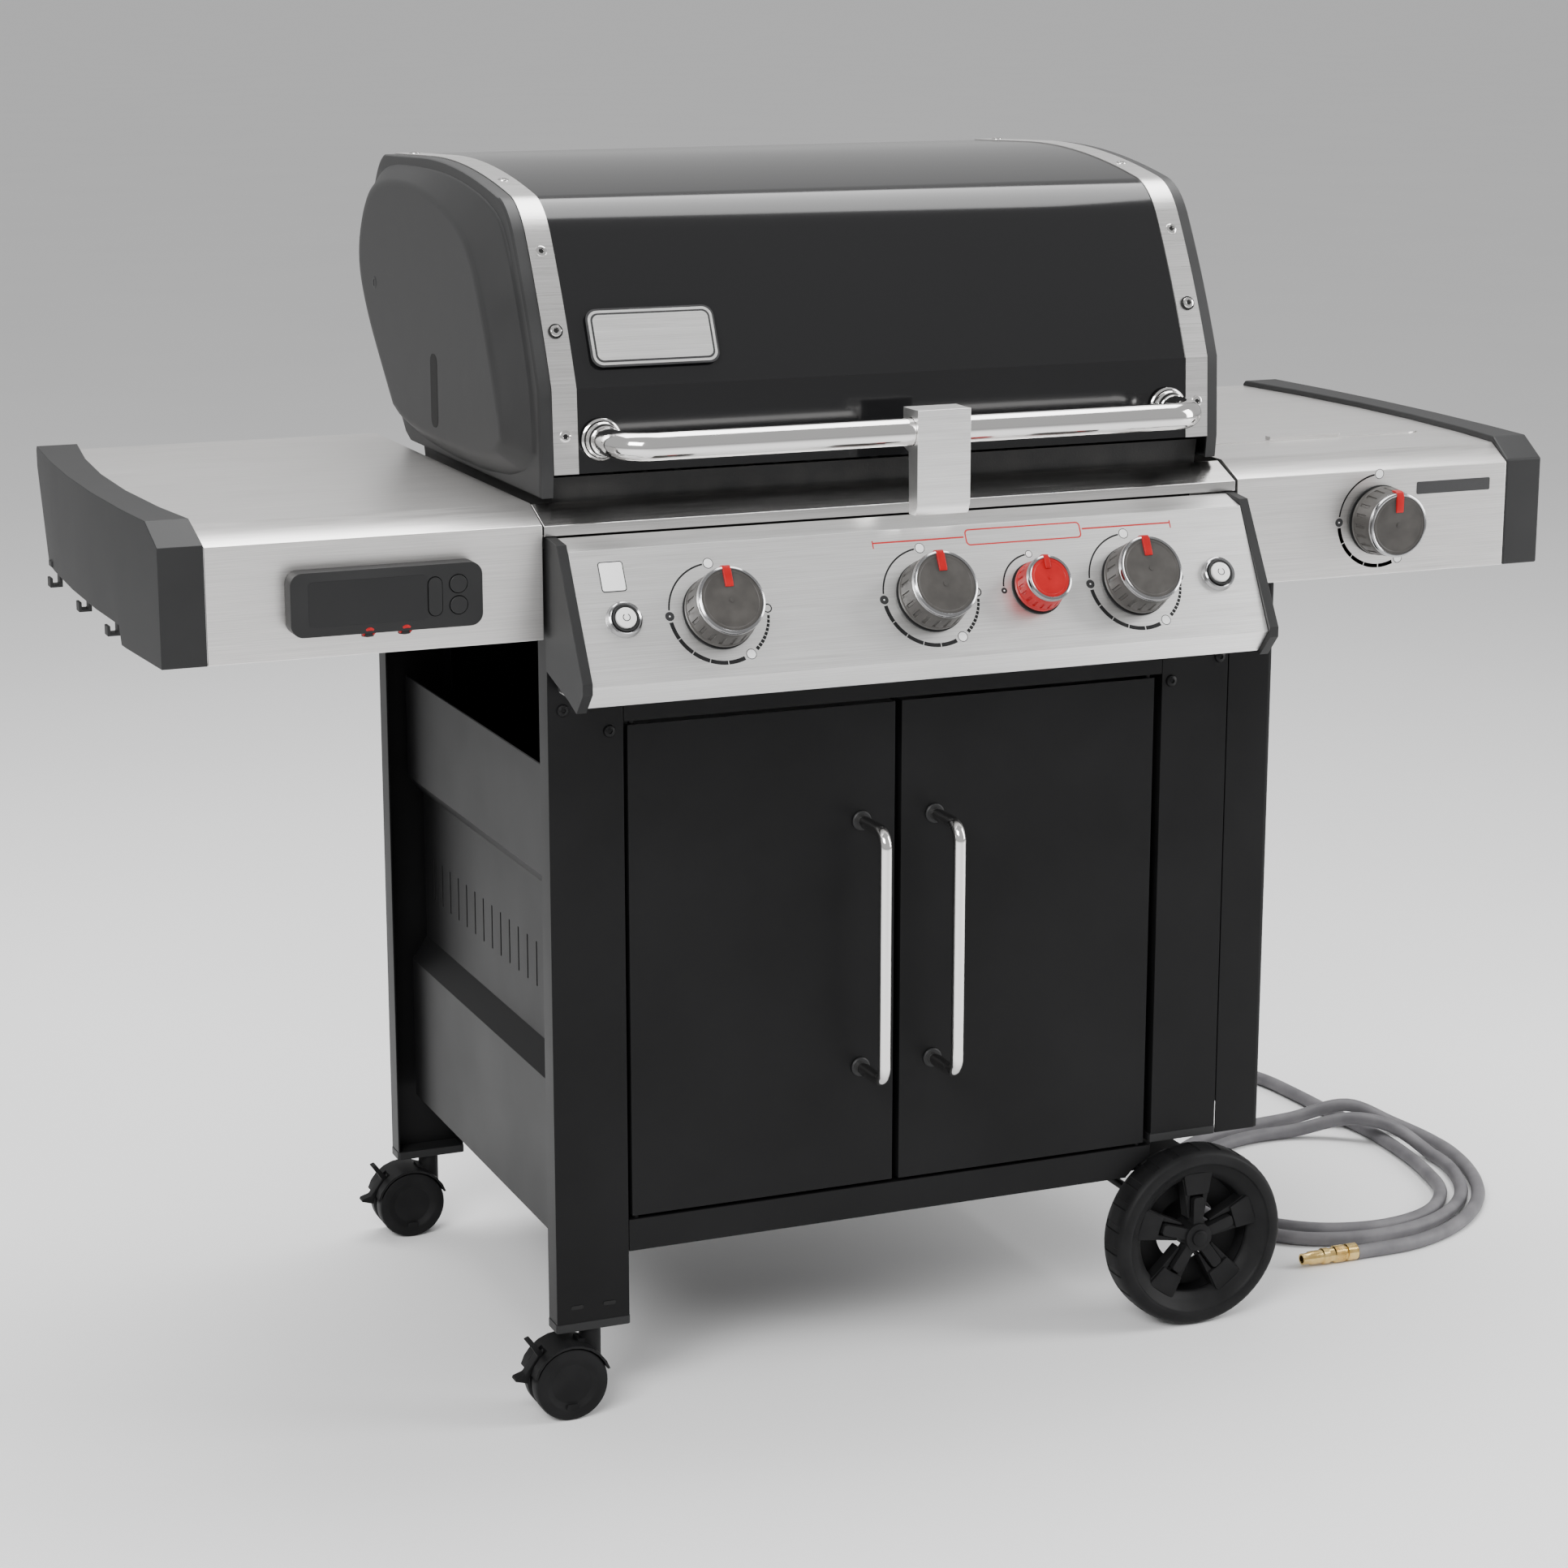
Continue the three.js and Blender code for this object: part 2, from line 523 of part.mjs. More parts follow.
// Burners, their feeds and valves, the manifold, and the supply line to the hose outlet.
{
  const manifold = valveEnd.clone().addScaledVector(fasciaOut, -4);
  const ends = [burnerPlaces[0] - 15, HOSE_OUTLET.x + 5];
  let set = rod(manifold.clone().setX(ends[0]), manifold.clone().setX(ends[1]), MANIFOLD_RADIUS, 10);
  for (const x of burnerPlaces) {
    const valve = rod(onPanel(x, -42), valveEnd.clone().setX(x), VALVE_RADIUS, 10);
    const feed = rod(valveEnd.clone().setX(x), feedEnd(x), FEED_RADIUS, 10);
    const burner = rod(at(x, BOX_FRONT + 14, BURNER_Z), at(x, BOX_REAR - 30, BURNER_Z), BURNER_RADIUS, 12);
    set = join(set, valve, feed, burner);
  }
  const outletAt = (y) => at(ends[1] - 5, y, HOSE_OUTLET.z - DECK_RISE);
  const line = [
    manifold.clone().setX(ends[1] - 5), at(ends[1] - 5, -150, 752), at(ends[1] - 5, 306, 715),
    outletAt(306), outletAt(HOSE_OUTLET.y - 6),
  ];
  set = join(set, bentTube(line, 18, 5, 8));
  const fitting = rod(outletAt(HOSE_OUTLET.y - 8), outletAt(HOSE_OUTLET.y), 10, 12);
  piece('burner_set', join(set, fitting), stainless, deck);
}

// Heat tents: one folded strip over each main burner, carried on two cross rails.
{
  let tents;
  for (const x of [burnerPlaces[0], burnerPlaces[1], burnerPlaces[3]]) {
    const path = [[x - 34, BURNER_Z + 16], [x, BURNER_Z + 40], [x + 34, BURNER_Z + 16]];
    const tent = alongY(sheetOutline(path, 1.5), BOX_FRONT + 18, BOX_REAR - 18);
    tents = tents ? join(tents, tent) : tent;
  }
  for (const y of [BOX_FRONT + 16, BOX_REAR - 22]) {
    tents = join(tents, box([-BOX_HALF + 12, BOX_HALF - 12], [y, y + 6], [BURNER_Z + 24, BURNER_Z + 28]));
  }
  piece('heat_tents', tents, stainless, deck);
}

function grid(x, y, z, bar, count) {
  const height = 8;
  let all;
  for (let i = 0; i < count; i += 1) {
    const place = x[0] + bar / 2 + (i / (count - 1)) * (x[1] - x[0] - bar);
    const one = box([place - bar / 2, place + bar / 2], y, [z, z + height]);
    all = all ? join(all, one) : one;
  }
  for (const edge of [y[0], y[1] - 6]) {
    all = join(all, box(x, [edge, edge + 6], [z, z + height * 0.75]));
  }
  return all;
}

const grate = grid([-BOX_HALF + 8, BOX_HALF - 8], [BOX_FRONT + 8, BOX_REAR - 8], GRATE_Z, 8, 20);
piece('cooking_grate', grate, castIron, deck);

// Warming rack: a wire shelf on two end hangers that stand on the cookbox rim.
{
  const y = [58, 178];
  const z = 985;
  let rack = rod(at(-322, y[0], z), at(322, y[0], z), 3, 8);
  rack = join(rack, rod(at(-322, y[1], z), at(322, y[1], z), 3, 8));
  const wires = 12;
  for (let i = 0; i < wires; i += 1) {
    const x = -320 + (i / (wires - 1)) * 640;
    rack = join(rack, box([x - 1.5, x + 1.5], [y[0], y[1]], [z - 1.5, z + 1.5]));
  }
  for (const x of [-322, 319]) {
    rack = join(rack, box([x, x + 3], [y[0], y[1]], [GRATE_Z + 8 + GAP, z]));
  }
  piece('warming_rack', rack, stainless, deck);
}

// Drip tray: rests on the runners and slides out to the back.
{
  const half = BOX_OUTLET_HALF - BOX_WALL - 2;
  const y = [BOX_FRONT + 92, BOX_REAR - 80];
  const z = [BOX_FLOOR - 30 + GAP, BOX_FLOOR - 6];
  const wall = 1.5;
  const hollow = box([-half + wall, half - wall], [y[0] + wall, y[1] - wall], [z[0] + wall, z[1] + 1]);
  const tray = cut(box([-half, half], y, z), hollow);
  piece('drip_tray', tray, stainless, deck);
}

// ---- control panel ------------------------------------------------------------------------

const SHELF_FRONT = { y: -250.5, z: 903.5 };
piece('front_shelf', alongX(sheetOutline([
  [BOX_FRONT - 3, 918], [BOX_FRONT - 6, 919.5], [SHELF_FRONT.y, SHELF_FRONT.z],
  [SHELF_FRONT.y, SHELF_FRONT.z - 10], [SHELF_FRONT.y + 6, SHELF_FRONT.z - 10],
].reverse(), SHEET), -TABLE_INNER + 2, TABLE_INNER - 2), stainless, deck);

const mainKnobs = [
  { name: 'left', x: burnerPlaces[0], scale: 1, material: knobGrey },
  { name: 'middle', x: burnerPlaces[1], scale: 1, material: knobGrey },
  { name: 'sear', x: burnerPlaces[2], scale: 0.72, material: redPlastic },
  { name: 'right', x: burnerPlaces[3], scale: 1, material: knobGrey },
];
const buttons = [
  { name: 'igniter_button', x: -315 },
  { name: 'light_button', x: 315 },
];
{
  const path = [
    [SHELF_FRONT.y - 2, 892], [PANEL_TOP.y, PANEL_TOP.z], [PANEL_BOTTOM.y, PANEL_BOTTOM.z],
    [PANEL_FOLD.y, PANEL_FOLD.z], [CABINET_FRONT - 7, PANEL_FOLD.z],
  ];
  let panel = alongX(sheetOutline(path.reverse(), PANEL_SHEET), -PANEL_HALF, PANEL_HALF);
  for (const { x } of mainKnobs) {
    panel = cut(panel, rod(onPanel(x, -10), onPanel(x, 10), STEM_RADIUS + 1.5));
  }
  for (const { x } of buttons) {
    panel = cut(panel, rod(onPanel(x, -10), onPanel(x, 10), BUTTON_RADIUS + GAP));
  }
  piece('control_panel', panel, stainless, deck);
}

// The control box: two moulded cheeks that close the panel's ends, tied by a tray behind its fold.
{
  const cheek = shapeOf([
    [SHELF_FRONT.y, 893], [PANEL_TOP.y + 3, 890], [PANEL_BOTTOM.y - 2.5, PANEL_BOTTOM.z + 4],
    [PANEL_BOTTOM.y - 2.5, PANEL_BOTTOM.z - 6], [PANEL_FOLD.y - 2, PANEL_FOLD.z - 4],
    [PANEL_FOLD.y + 20, PANEL_FOLD.z + 4], [CABINET_FRONT - GAP, 764], [CABINET_FRONT - GAP, 890],
  ]);
  const inner = PANEL_HALF + GAP;
  const right = alongX(cheek, inner, inner + CHEEK_WIDTH);
  const trayZ = [PANEL_FOLD.z + 2.2, PANEL_FOLD.z + 5];
  const tray = box([-inner - 1, inner + 1], [PANEL_FOLD.y + 8, CABINET_FRONT - 8], trayZ);
  piece('control_box', join(right, mirrored(right), tray), plastic, deck);
}

// Knobs are turned shells, hollow behind, on a stem that carries them through the panel. Each knob
// group has its axis along +Y and is turned to stand square on its panel.
function knobProfile(scale) {
  const r = KNOB_RADIUS * scale;
  const h = KNOB_HEIGHT * (scale < 1 ? 0.85 : 1);
  const face = r * 0.9;
  const bore = STEM_RADIUS + 0.4;
  const boss = 11 * scale + 2;
  const low = STEM_TRAVEL + 1.5;
  return [
    [0, 22], [bore, 22], [bore, 9], [boss, 9], [boss, h - 6], [face - 4, h - 6],
    [r - 3, low], [r, low], [r, low + 6], [face, h - 2], [face - 1.5, h], [0, h],
  ];
}

function addKnob({ name, scale, material }, origin, tilt) {
  const group = new THREE.Group();
  group.position.copy(origin);
  group.quaternion.copy(tilt);
  deck.add(group);
  const stem = rod(at(0, -38, 0), at(0, 21.5, 0), STEM_RADIUS, 16);
  piece(`valve_stem_${name}`, stem, brass, group);
  const profile = knobProfile(scale);
  piece(`knob_${name}`, turned(profile, at(0, 0, 0), at(0, 1, 0), 24), material, group);
}

const outwardTurn = new THREE.Quaternion().setFromUnitVectors(at(0, 1, 0), fasciaOut);
const forwardTurn = new THREE.Quaternion().setFromUnitVectors(at(0, 1, 0), at(0, -1, 0));
for (const knob of mainKnobs) {
  addKnob(knob, onPanel(knob.x, 0), outwardTurn);
}
const sideKnob = { name: 'side', scale: 1, material: knobGrey };
addKnob(sideKnob, at(SIDE_KNOB.x, TABLE_FRONT, SIDE_KNOB.z), forwardTurn);

for (const { name, x } of buttons) {
  const profile = [[0, -14], [BUTTON_RADIUS, -14], [BUTTON_RADIUS, 8], [BUTTON_RADIUS - 1, 9], [0, 9]];
  piece(name, turned(profile, onPanel(x, 0), onPanel(x, 1), 20), white, deck);
}

// ---- side tables --------------------------------------------------------------------------

const tablePath = [
  [TABLE_BACK, TABLE_TOP - 45], [TABLE_BACK, TABLE_TOP], [TABLE_FRONT + SLOPE_RUN, TABLE_TOP],
  [TABLE_FRONT, TABLE_TOP - SLOPE_DROP], [TABLE_FRONT, TABLE_TOP - TABLE_HEIGHT],
  [TABLE_FRONT + 16, TABLE_TOP - TABLE_HEIGHT],
];

// Plan of everything inboard of an arc that bulges out from x = end by bulge.
function planInside(end, bulge, xInner) {
  const shape = new THREE.Shape();
  shape.moveTo(xInner, TABLE_FRONT - 5);
  shape.lineTo(end, TABLE_FRONT - 5);
  shape.lineTo(end, TABLE_FRONT);
  shape.quadraticCurveTo(end + 2 * bulge, (TABLE_FRONT + TABLE_BACK) / 2, end, TABLE_BACK);
  shape.lineTo(end, TABLE_BACK + 5);
  shape.lineTo(xInner, TABLE_BACK + 5);
  shape.closePath();
  return shape;
}

function tableShell() {
  const bent = alongX(sheetOutline(tablePath.slice().reverse(), SHEET), TABLE_INNER, TABLE_END + TABLE_BULGE + 1);
  const innerSide = shapeOf([...tablePath.slice(1, 5), [TABLE_BACK, TABLE_TOP - TABLE_HEIGHT]]);
  const filled = alongX(innerSide, TABLE_INNER, TABLE_INNER + SHEET);
  const plan = alongZ(planInside(TABLE_END, TABLE_BULGE, TABLE_INNER - 1), TABLE_TOP - TABLE_HEIGHT - 1, TABLE_TOP + 1);
  return join(bent.intersect(plan), filled);
}

piece('left_table', mirrored(tableShell()), stainless, deck);

const WELL = { x: [401, 673], y: [-124, 200], corner: 20 };
{
  const opening = alongZ(roundedRect(...WELL.x, ...WELL.y, WELL.corner), TABLE_TOP - 10, TABLE_TOP + 10);
  const stemHole = rod(at(SIDE_KNOB.x, TABLE_FRONT - 5, SIDE_KNOB.z), at(SIDE_KNOB.x, TABLE_FRONT + 10, SIDE_KNOB.z), STEM_RADIUS + 1.5);
  piece('right_table', cut(tableShell(), opening, stemHole), stainless, deck);
}

// End caps: moulded shells, open below and towards the table, that follow the table's section.
function endCap(hooks) {
  const low = TABLE_TOP - TABLE_HEIGHT;
  const top = TABLE_TOP + CAP_RIDGE;
  const section = [
    [TABLE_FRONT, low], [TABLE_FRONT + 128, low], [TABLE_FRONT + 136, low + 18], [TABLE_BACK - 68, low + 18],
    [TABLE_BACK, low + 110], [TABLE_BACK, top - 4], [TABLE_BACK - 4, top],
    [TABLE_FRONT + SLOPE_RUN, top], [TABLE_FRONT, top - SLOPE_DROP - 4],
  ];
  const inside = [
    [TABLE_FRONT + CAP_WALL, low - 1], [TABLE_BACK - 75, low - 1], [TABLE_BACK - 72, low + 22],
    [TABLE_BACK - CAP_WALL, low + 112], [TABLE_BACK - CAP_WALL, TABLE_TOP - CAP_WALL],
    [TABLE_FRONT + SLOPE_RUN, TABLE_TOP - CAP_WALL], [TABLE_FRONT + CAP_WALL, TABLE_TOP - SLOPE_DROP - CAP_WALL - 2],
  ];
  const far = CAP_END + CAP_BULGE + 1;
  const outerPlan = alongZ(planInside(CAP_END, CAP_BULGE, TABLE_END - 40), low - 2, top + 1);
  const tablePlan = alongZ(planInside(TABLE_END + GAP, TABLE_BULGE, TABLE_END - 60), low - 3, top + 2);
  const hollowPlan = alongZ(planInside(CAP_END - CAP_WALL, CAP_BULGE, TABLE_END - 60), low - 3, top + 2);
  const whole = alongX(shapeOf(section), TABLE_END - 30, far).intersect(outerPlan);
  const hollow = alongX(shapeOf(inside), TABLE_END - 30, far).intersect(hollowPlan);
  let cap = cut(whole, tablePlan, hollow);
  if (hooks) {
    // J-shaped tool hooks below the cap's outer wall.
    for (const y of [-65, 68, 212]) {
      const x = CAP_END + CAP_BULGE - 12;
      const stem = box([x - 3, x], [y - 7, y + 7], [low + 2, low + 26]);
      const foot = box([x - 3, x + 10], [y - 7, y + 7], [low - 1, low + 2]);
      const tip = box([x + 7, x + 10], [y - 7, y + 7], [low - 1, low + 9]);
      cap = join(cap, stem, foot, tip, box([x - 3, x + 8], [y - 7, y + 7], [low + 20, low + 26]));
    }
  }
  return cap;
}

piece('left_end_cap', mirrored(endCap(true)), plastic, deck);
piece('right_end_cap', endCap(false), plastic, deck);

// The display housing on the left table's front, with a rocker key, two round keys, and two
// probe sockets in its lower edge.
const HOUSING = { x: [-621, -438], z: [819, 879], depth: 20, corner: 12 };
const ROCKER = { x: -484, z: 849, half: [6.5, 18] };
const KEYS = [{ name: 'upper_key', x: -461.5, z: 859.5 }, { name: 'lower_key', x: -461.5, z: 839.5 }];
const KEY_RADIUS = 8.5;
const KEY_POCKET = 6;
{
  const back = TABLE_FRONT - GAP;
  const front = back - HOUSING.depth;
  let body = alongY(roundedRect(...HOUSING.x, ...HOUSING.z, HOUSING.corner), front, back);
  const { x, z, half } = ROCKER;
  const slot = roundedRect(x - half[0] - GAP, x + half[0] + GAP, z - half[1] - GAP, z + half[1] + GAP, half[0] + 0.4);
  body = cut(body, alongY(slot, front - 1, front + KEY_POCKET));
  for (const key of KEYS) {
    body = cut(body, rod(at(key.x, front - 1, key.z), at(key.x, front + KEY_POCKET, key.z), KEY_RADIUS + GAP, 16));
    const profile = [[0, 0], [KEY_RADIUS, 0], [KEY_RADIUS, 4.6], [KEY_RADIUS - 0.6, 5.2], [0, 5.2]];
    piece(key.name, turned(profile, at(key.x, front + 4, key.z), at(key.x, front, key.z), 16), plastic, deck);
  }
  for (const socket of [-547, -512]) {
    body = join(body, rod(at(socket, front + 9, HOUSING.z[0] - 4), at(socket, front + 9, HOUSING.z[0] + 1), 6, 12));
    body = cut(body, rod(at(socket, front + 9, HOUSING.z[0] - 5), at(socket, front + 9, HOUSING.z[0] + 10), 3, 8));
  }
  piece('display_housing', body, plastic, deck);
  const pill = roundedRect(x - half[0], x + half[0], z - half[1], z + half[1], half[0] - 0.01);
  piece('rocker_key', alongY(pill, front - 1, front + 3.2), plastic, deck);
}

// Side burner: a pan hung in the table's opening, with a burner head and a four-arm grate.
const PAN_DEPTH = 62;
{
  const [x0, x1] = WELL.x;
  const [y0, y1] = WELL.y;
  const rim = TABLE_TOP - SHEET - GAP;
  const outer = alongZ(roundedRect(x0 - 3, x1 + 3, y0 - 3, y1 + 3, WELL.corner), rim - PAN_DEPTH, rim);
  const inner = alongZ(roundedRect(x0 - 1, x1 + 1, y0 - 1, y1 + 1, WELL.corner - 2), rim - PAN_DEPTH + SHEET, rim + 1);
  let pan = cut(outer, inner);
  const c = [(x0 + x1) / 2, (y0 + y1) / 2];
  const floor = rim - PAN_DEPTH + 1;
  pan = join(pan, rod(at(...c, floor), at(...c, floor + 22), 38, 20));
  for (const turn of [0, 1]) {
    const arm = turn ? [[x0 - 2, x1 + 2], [c[1] - 4, c[1] + 4]] : [[c[0] - 4, c[0] + 4], [y0 - 2, y1 + 2]];
    pan = join(pan, box(arm[0], arm[1], [rim - 24, rim - 14]));
  }
  piece('side_burner', pan, castIron, deck);
  const lid = alongZ(roundedRect(x0 + 1, x1 - 1, y0 + 1, y1 - 1, WELL.corner - 1), TABLE_TOP - 4.5, TABLE_TOP + 1);
  const under = alongZ(roundedRect(x0 + 3, x1 - 3, y0 + 3, y1 - 3, WELL.corner - 3), TABLE_TOP - 5, TABLE_TOP - 1);
  const pull = box([484, 569], [y0 + 2, y0 + 12], [TABLE_TOP + 0.5, TABLE_TOP + 4.5]);
  piece('side_burner_lid', join(cut(lid, under), pull), stainless, deck);
}

// ---- lid ----------------------------------------------------------------------------------

// Side view of the lid, from the front lower edge over the top to its rear edge.
function lidPath() {
  const path = new THREE.Path();
  path.moveTo(-223.5, 947);
  path.lineTo(-219.5, 1027);
  path.quadraticCurveTo(-190, 1100, -149.5, 1167);
  path.quadraticCurveTo(-132, 1194, -105.5, 1200);
  path.quadraticCurveTo(20, 1226, 137.5, 1223);
  path.lineTo(278.5, 1218);
  path.quadraticCurveTo(300, 1212, 318, 1183);
  path.quadraticCurveTo(354, 1146, 351, 1110);
  path.quadraticCurveTo(345, 1082, 330, 1062);
  return path;
}

const lidCurve = lidPath().getPoints(5).map((p) => [p.x, p.y]);
piece('lid_skin', alongX(sheetOutline(lidCurve, LID_SHEET), -LID_HALF, LID_HALF), enamel, deck);

const LID_END_LOW = 925;
{
  const rearFoot = [[302.5, 1027], [275.5, 1005], [249.5, 986], [239.5, 953], [205, LID_END_LOW]];
  const outline = shapeOf([[-221, LID_END_LOW], ...lidCurve, ...rearFoot].reverse());
  const x0 = LID_HALF + GAP;
  const x1 = x0 + LID_END_RIM;
  const x2 = x1 + LID_END_PLATEAU;
  const rim = alongX(outline, x0, x1);
  const low = [
    [-216, LID_END_LOW + 4], [-214, 1027], [-145, 1163], [-102, 1195], [137, 1218],
    [276, 1213], [314, 1180], [346, 1122], [298, 1030], [170, LID_END_LOW + 4],
  ];
  const high = [
    [-166, 948], [-140, 1010], [-100, 1092], [-57, 1147], [60, 1170], [230, 1165], [300, 1145],
    [330, 1112], [300, 1060], [190, 975], [35, 948],
  ];
  const hull = (a, b, xa, xb, shrink) => {
    const [cy, cz] = [60, 1060];
    const moved = (points, x) => points.map(([y, z]) => at(x, cy + (y - cy) * shrink, cz + (z - cz) * shrink));
    return solidOf(new ConvexGeometry([...moved(a, xa), ...moved(b, xb)]));
  };
  const plateau = hull(low, high, x1 - 0.5, x2, 1);
  const cavity = hull(low, high, x0 - 1, x2 - LID_WALL, 0.94);
  const slot = alongX(shapeOf([[36, 960], [76, 962], [54, 1033], [46, 1033]]), x2 - 3, x2 + 1);
  const pin = rod(at(x0 - 14, LID_PIVOT.y, LID_PIVOT.z), at(x2 - 3, LID_PIVOT.y, LID_PIVOT.z), PIN_RADIUS, 16);
  const boss = rod(at(x0 + 0.5, LID_PIVOT.y, LID_PIVOT.z), at(x2 - 3, LID_PIVOT.y, LID_PIVOT.z), PIN_RADIUS + 6, 20);
  const end = join(cut(join(rim, plateau), cavity, slot), boss, pin);
  piece('lid_end_right', end, castEnd, deck);
  piece('lid_end_left', mirrored(end), castEnd, deck);
}

// The handle: one bent tube with a round plate where each end meets the lid.
{
  const [x, y, z] = [LID_HANDLE_X, LID_HANDLE_Y, LID_HANDLE_Z];
  const foot = -223.7;
  let handle = bentTube([at(-x, foot, z), at(-x, y, z), at(x, y, z), at(x, foot, z)], 28, LID_HANDLE_RADIUS, 16);
  for (const side of [-1, 1]) {
    handle = join(handle, rod(at(side * x, foot, z), at(side * x, foot - 7, z), 20, 20));
  }
  piece('lid_handle', handle, chrome, deck);

  const side = shapeOf([
    [y - 16.5, z + 22], [y - 16.5, z - 70], [y - 12, z - 80], [y + 3, z - 80],
    [y + 5, z - 20], [y + 18, z - 16], [y + 18, z + 22],
  ]);
  const light = alongX(side, -11, 45);
  const bore = rod(at(-20, y, z), at(60, y, z), LID_HANDLE_RADIUS + 0.6, 16);
  piece('handle_light', cut(light, bore), stainless, deck);
}

// ---- casters and wheels -------------------------------------------------------------------

const CASTER_WEB = 8;
for (const [name, y] of [['front', CABINET_FRONT + LEG_DEPTH / 2], ['rear', CABINET_BACK - LEG_DEPTH / 2]]) {
  const group = new THREE.Group();
  group.position.set(-CABINET_HALF + LEG_WIDTH / 2, y, 0);
  grill.add(group);
  const r = CASTER_RADIUS;
  const half = CASTER_WIDTH / 2;
  const wheelAt = (h) => at(-CASTER_TRAIL, h, r);
  // Hood: a cover over the upper part of both wheels, a web between them, and the swivel post.
  const cover = turned([[r + 1, -half], [r + 3.5, -half], [r + 3.5, half], [r + 1, half], [r + 1, -half]],
    at(-CASTER_TRAIL, 0, r), at(-CASTER_TRAIL, 1, r), 24);
  const keep = box([-CASTER_TRAIL - 60, 30], [-40, 40], [r + 12, r + 60]);
  const web = turned([[8, -CASTER_WEB / 2], [r + 2, -CASTER_WEB / 2], [r + 2, CASTER_WEB / 2], [8, CASTER_WEB / 2], [8, -CASTER_WEB / 2]],
    at(-CASTER_TRAIL, 0, r), at(-CASTER_TRAIL, 1, r), 24);
  const webKeep = box([-CASTER_TRAIL - 60, 30], [-40, 40], [r - 14, r + 60]);
  const post = cut(rod(at(0, 0, 44), at(0, 0, LEFT_LEG_FOOT - GAP), 11, 20),
    turned([[0, -half], [r + 1, -half], [r + 1, half], [0, half]], wheelAt(0), wheelAt(1), 24));
  const neck = box([-15, 0], [-8, 8], [75, 80]);
  const notch = box([-CASTER_TRAIL - 60, -CASTER_TRAIL - 22], [-9, 9], [r - 16, r + 50]);
  const hood = cut(join(cover.intersect(keep), web.intersect(webKeep), post, neck), notch);
  piece(`caster_hood_${name}`, hood, plastic, group);
  const disc = (side) => {
    const inner = CASTER_WEB / 2 + 0.6;
    const [a, b] = side < 0 ? [-half + 0.5, -inner] : [inner, half - 0.5];
    const profile = [[0, a], [r - 2, a], [r, a + 2], [r, b - 2], [r - 2, b], [0, b]];
    return turned(profile, wheelAt(0), wheelAt(1), 24);
  };
  const core = rod(wheelAt(-half + 2), wheelAt(half - 2), 7, 16);
  piece(`caster_wheels_${name}`, join(disc(-1), disc(1), core), plastic, group);
  const lever = shapeOf([
    [-CASTER_TRAIL - r - 3.6, r + 2], [-CASTER_TRAIL - r - 17, r + 6], [-CASTER_TRAIL - r - 16, r + 9],
    [-CASTER_TRAIL - r - 6, r + 12], [-CASTER_TRAIL - 31, r + 30], [-CASTER_TRAIL - 42, r + 46],
    [-CASTER_TRAIL - 37, r + 48], [-CASTER_TRAIL - 24.5, r + 30.5], [-CASTER_TRAIL - 31, r + 24.5],
    [-CASTER_TRAIL - r - 2, r + 9],
  ].reverse());
  piece(`brake_lever_${name}`, alongY(lever, -6.5, 6.5), plastic, group);
}

const wheelPlaces = [
  ['front', CABINET_FRONT - WHEEL_PROUD, 1],
  ['rear', CABINET_BACK + WHEEL_PROUD, -1],
];
for (const [name, face, inward] of wheelPlaces) {
  const group = new THREE.Group();
  group.position.set(AXLE_X, face, WHEEL_RADIUS);
  if (inward < 0) group.rotation.z = Math.PI;
  grill.add(group);
  const r = WHEEL_RADIUS;
  const w = WHEEL_WIDTH;
  const tyre = [
    [r - 22, 4], [r - 6, 1], [r - 1.5, 5], [r, 12], [r, w - 12], [r - 1.5, w - 5], [r - 6, w - 1],
    [r - 22, w - 4], [r - 22, 4],
  ];
  let wheel = turned(tyre, at(0, 0, 0), at(0, 1, 0), 32);
  wheel = join(wheel, rod(at(0, 7, 0), at(0, w - 2, 0), 15, 16));
  const spokes = 5;
  for (let i = 0; i < spokes; i += 1) {
    const spoke = shapeOf([[-11, 8], [11, 8], [15, r - 18], [-15, r - 18]]);
    const angle = (i / spokes) * 360;
    wheel = join(wheel, alongY(spoke, 9, w - 14).rotate([0, angle, 0]));
  }
  wheel = cut(wheel, rod(at(0, 12, 0), at(0, w + 2, 0), AXLE_RADIUS + GAP, 16));
  piece(`wheel_${name}`, wheel, rubber, group);
}
piece('wheel_axle', rod(
  at(AXLE_X, CABINET_FRONT - WHEEL_PROUD + 14, WHEEL_RADIUS),
  at(AXLE_X, CABINET_BACK + WHEEL_PROUD - 14, WHEEL_RADIUS), AXLE_RADIUS, 20), blackSteel);

// ---- gas hose -----------------------------------------------------------------------------

// From the outlet at the back, down to the floor, round behind the cabinet to the right, and two
// and a half turns on the floor, each outside the last, ending in a quick connector.
const hoseRoute = [
  [262, 346.5, 330], [262, 420, 326], [266, 478, 288], [280, 505, 215], [308, 512, 130], [352, 506, 58],
  [425, 498, 14], [520, 496, 8], [620, 500, 8], [720, 500, 8], [784, 468, 8], [812, 404, 8],
  [820, 340, 8], [825, 260, 8], [832, 180, 8], [829, 100, 8], [818, 30, 8], [795, -40, 8],
  [740, -94, 8], [665, -110, 8], [590, -86, 8], [540, -28, 8], [526, 50, 8], [550, 130, 8],
  [604, 184, 8], [680, 213, 8], [745, 210, 10], [806, 180, 27], [838, 140, 26], [856, 72, 8],
  [846, 10, 8], [805, -66, 8], [735, -118, 8], [650, -134, 8], [570, -112, 8], [520, -52, 8],
  [503, 40, 8], [524, 130, 8], [590, 208, 8], [680, 246, 8], [762, 247, 12], [828, 224, 28],
  [866, 180, 14], [884, 107, 8], [872, 25, 8], [830, -66, 8], [760, -134, 8], [680, -168, 8],
  [600, -171, 8],
];
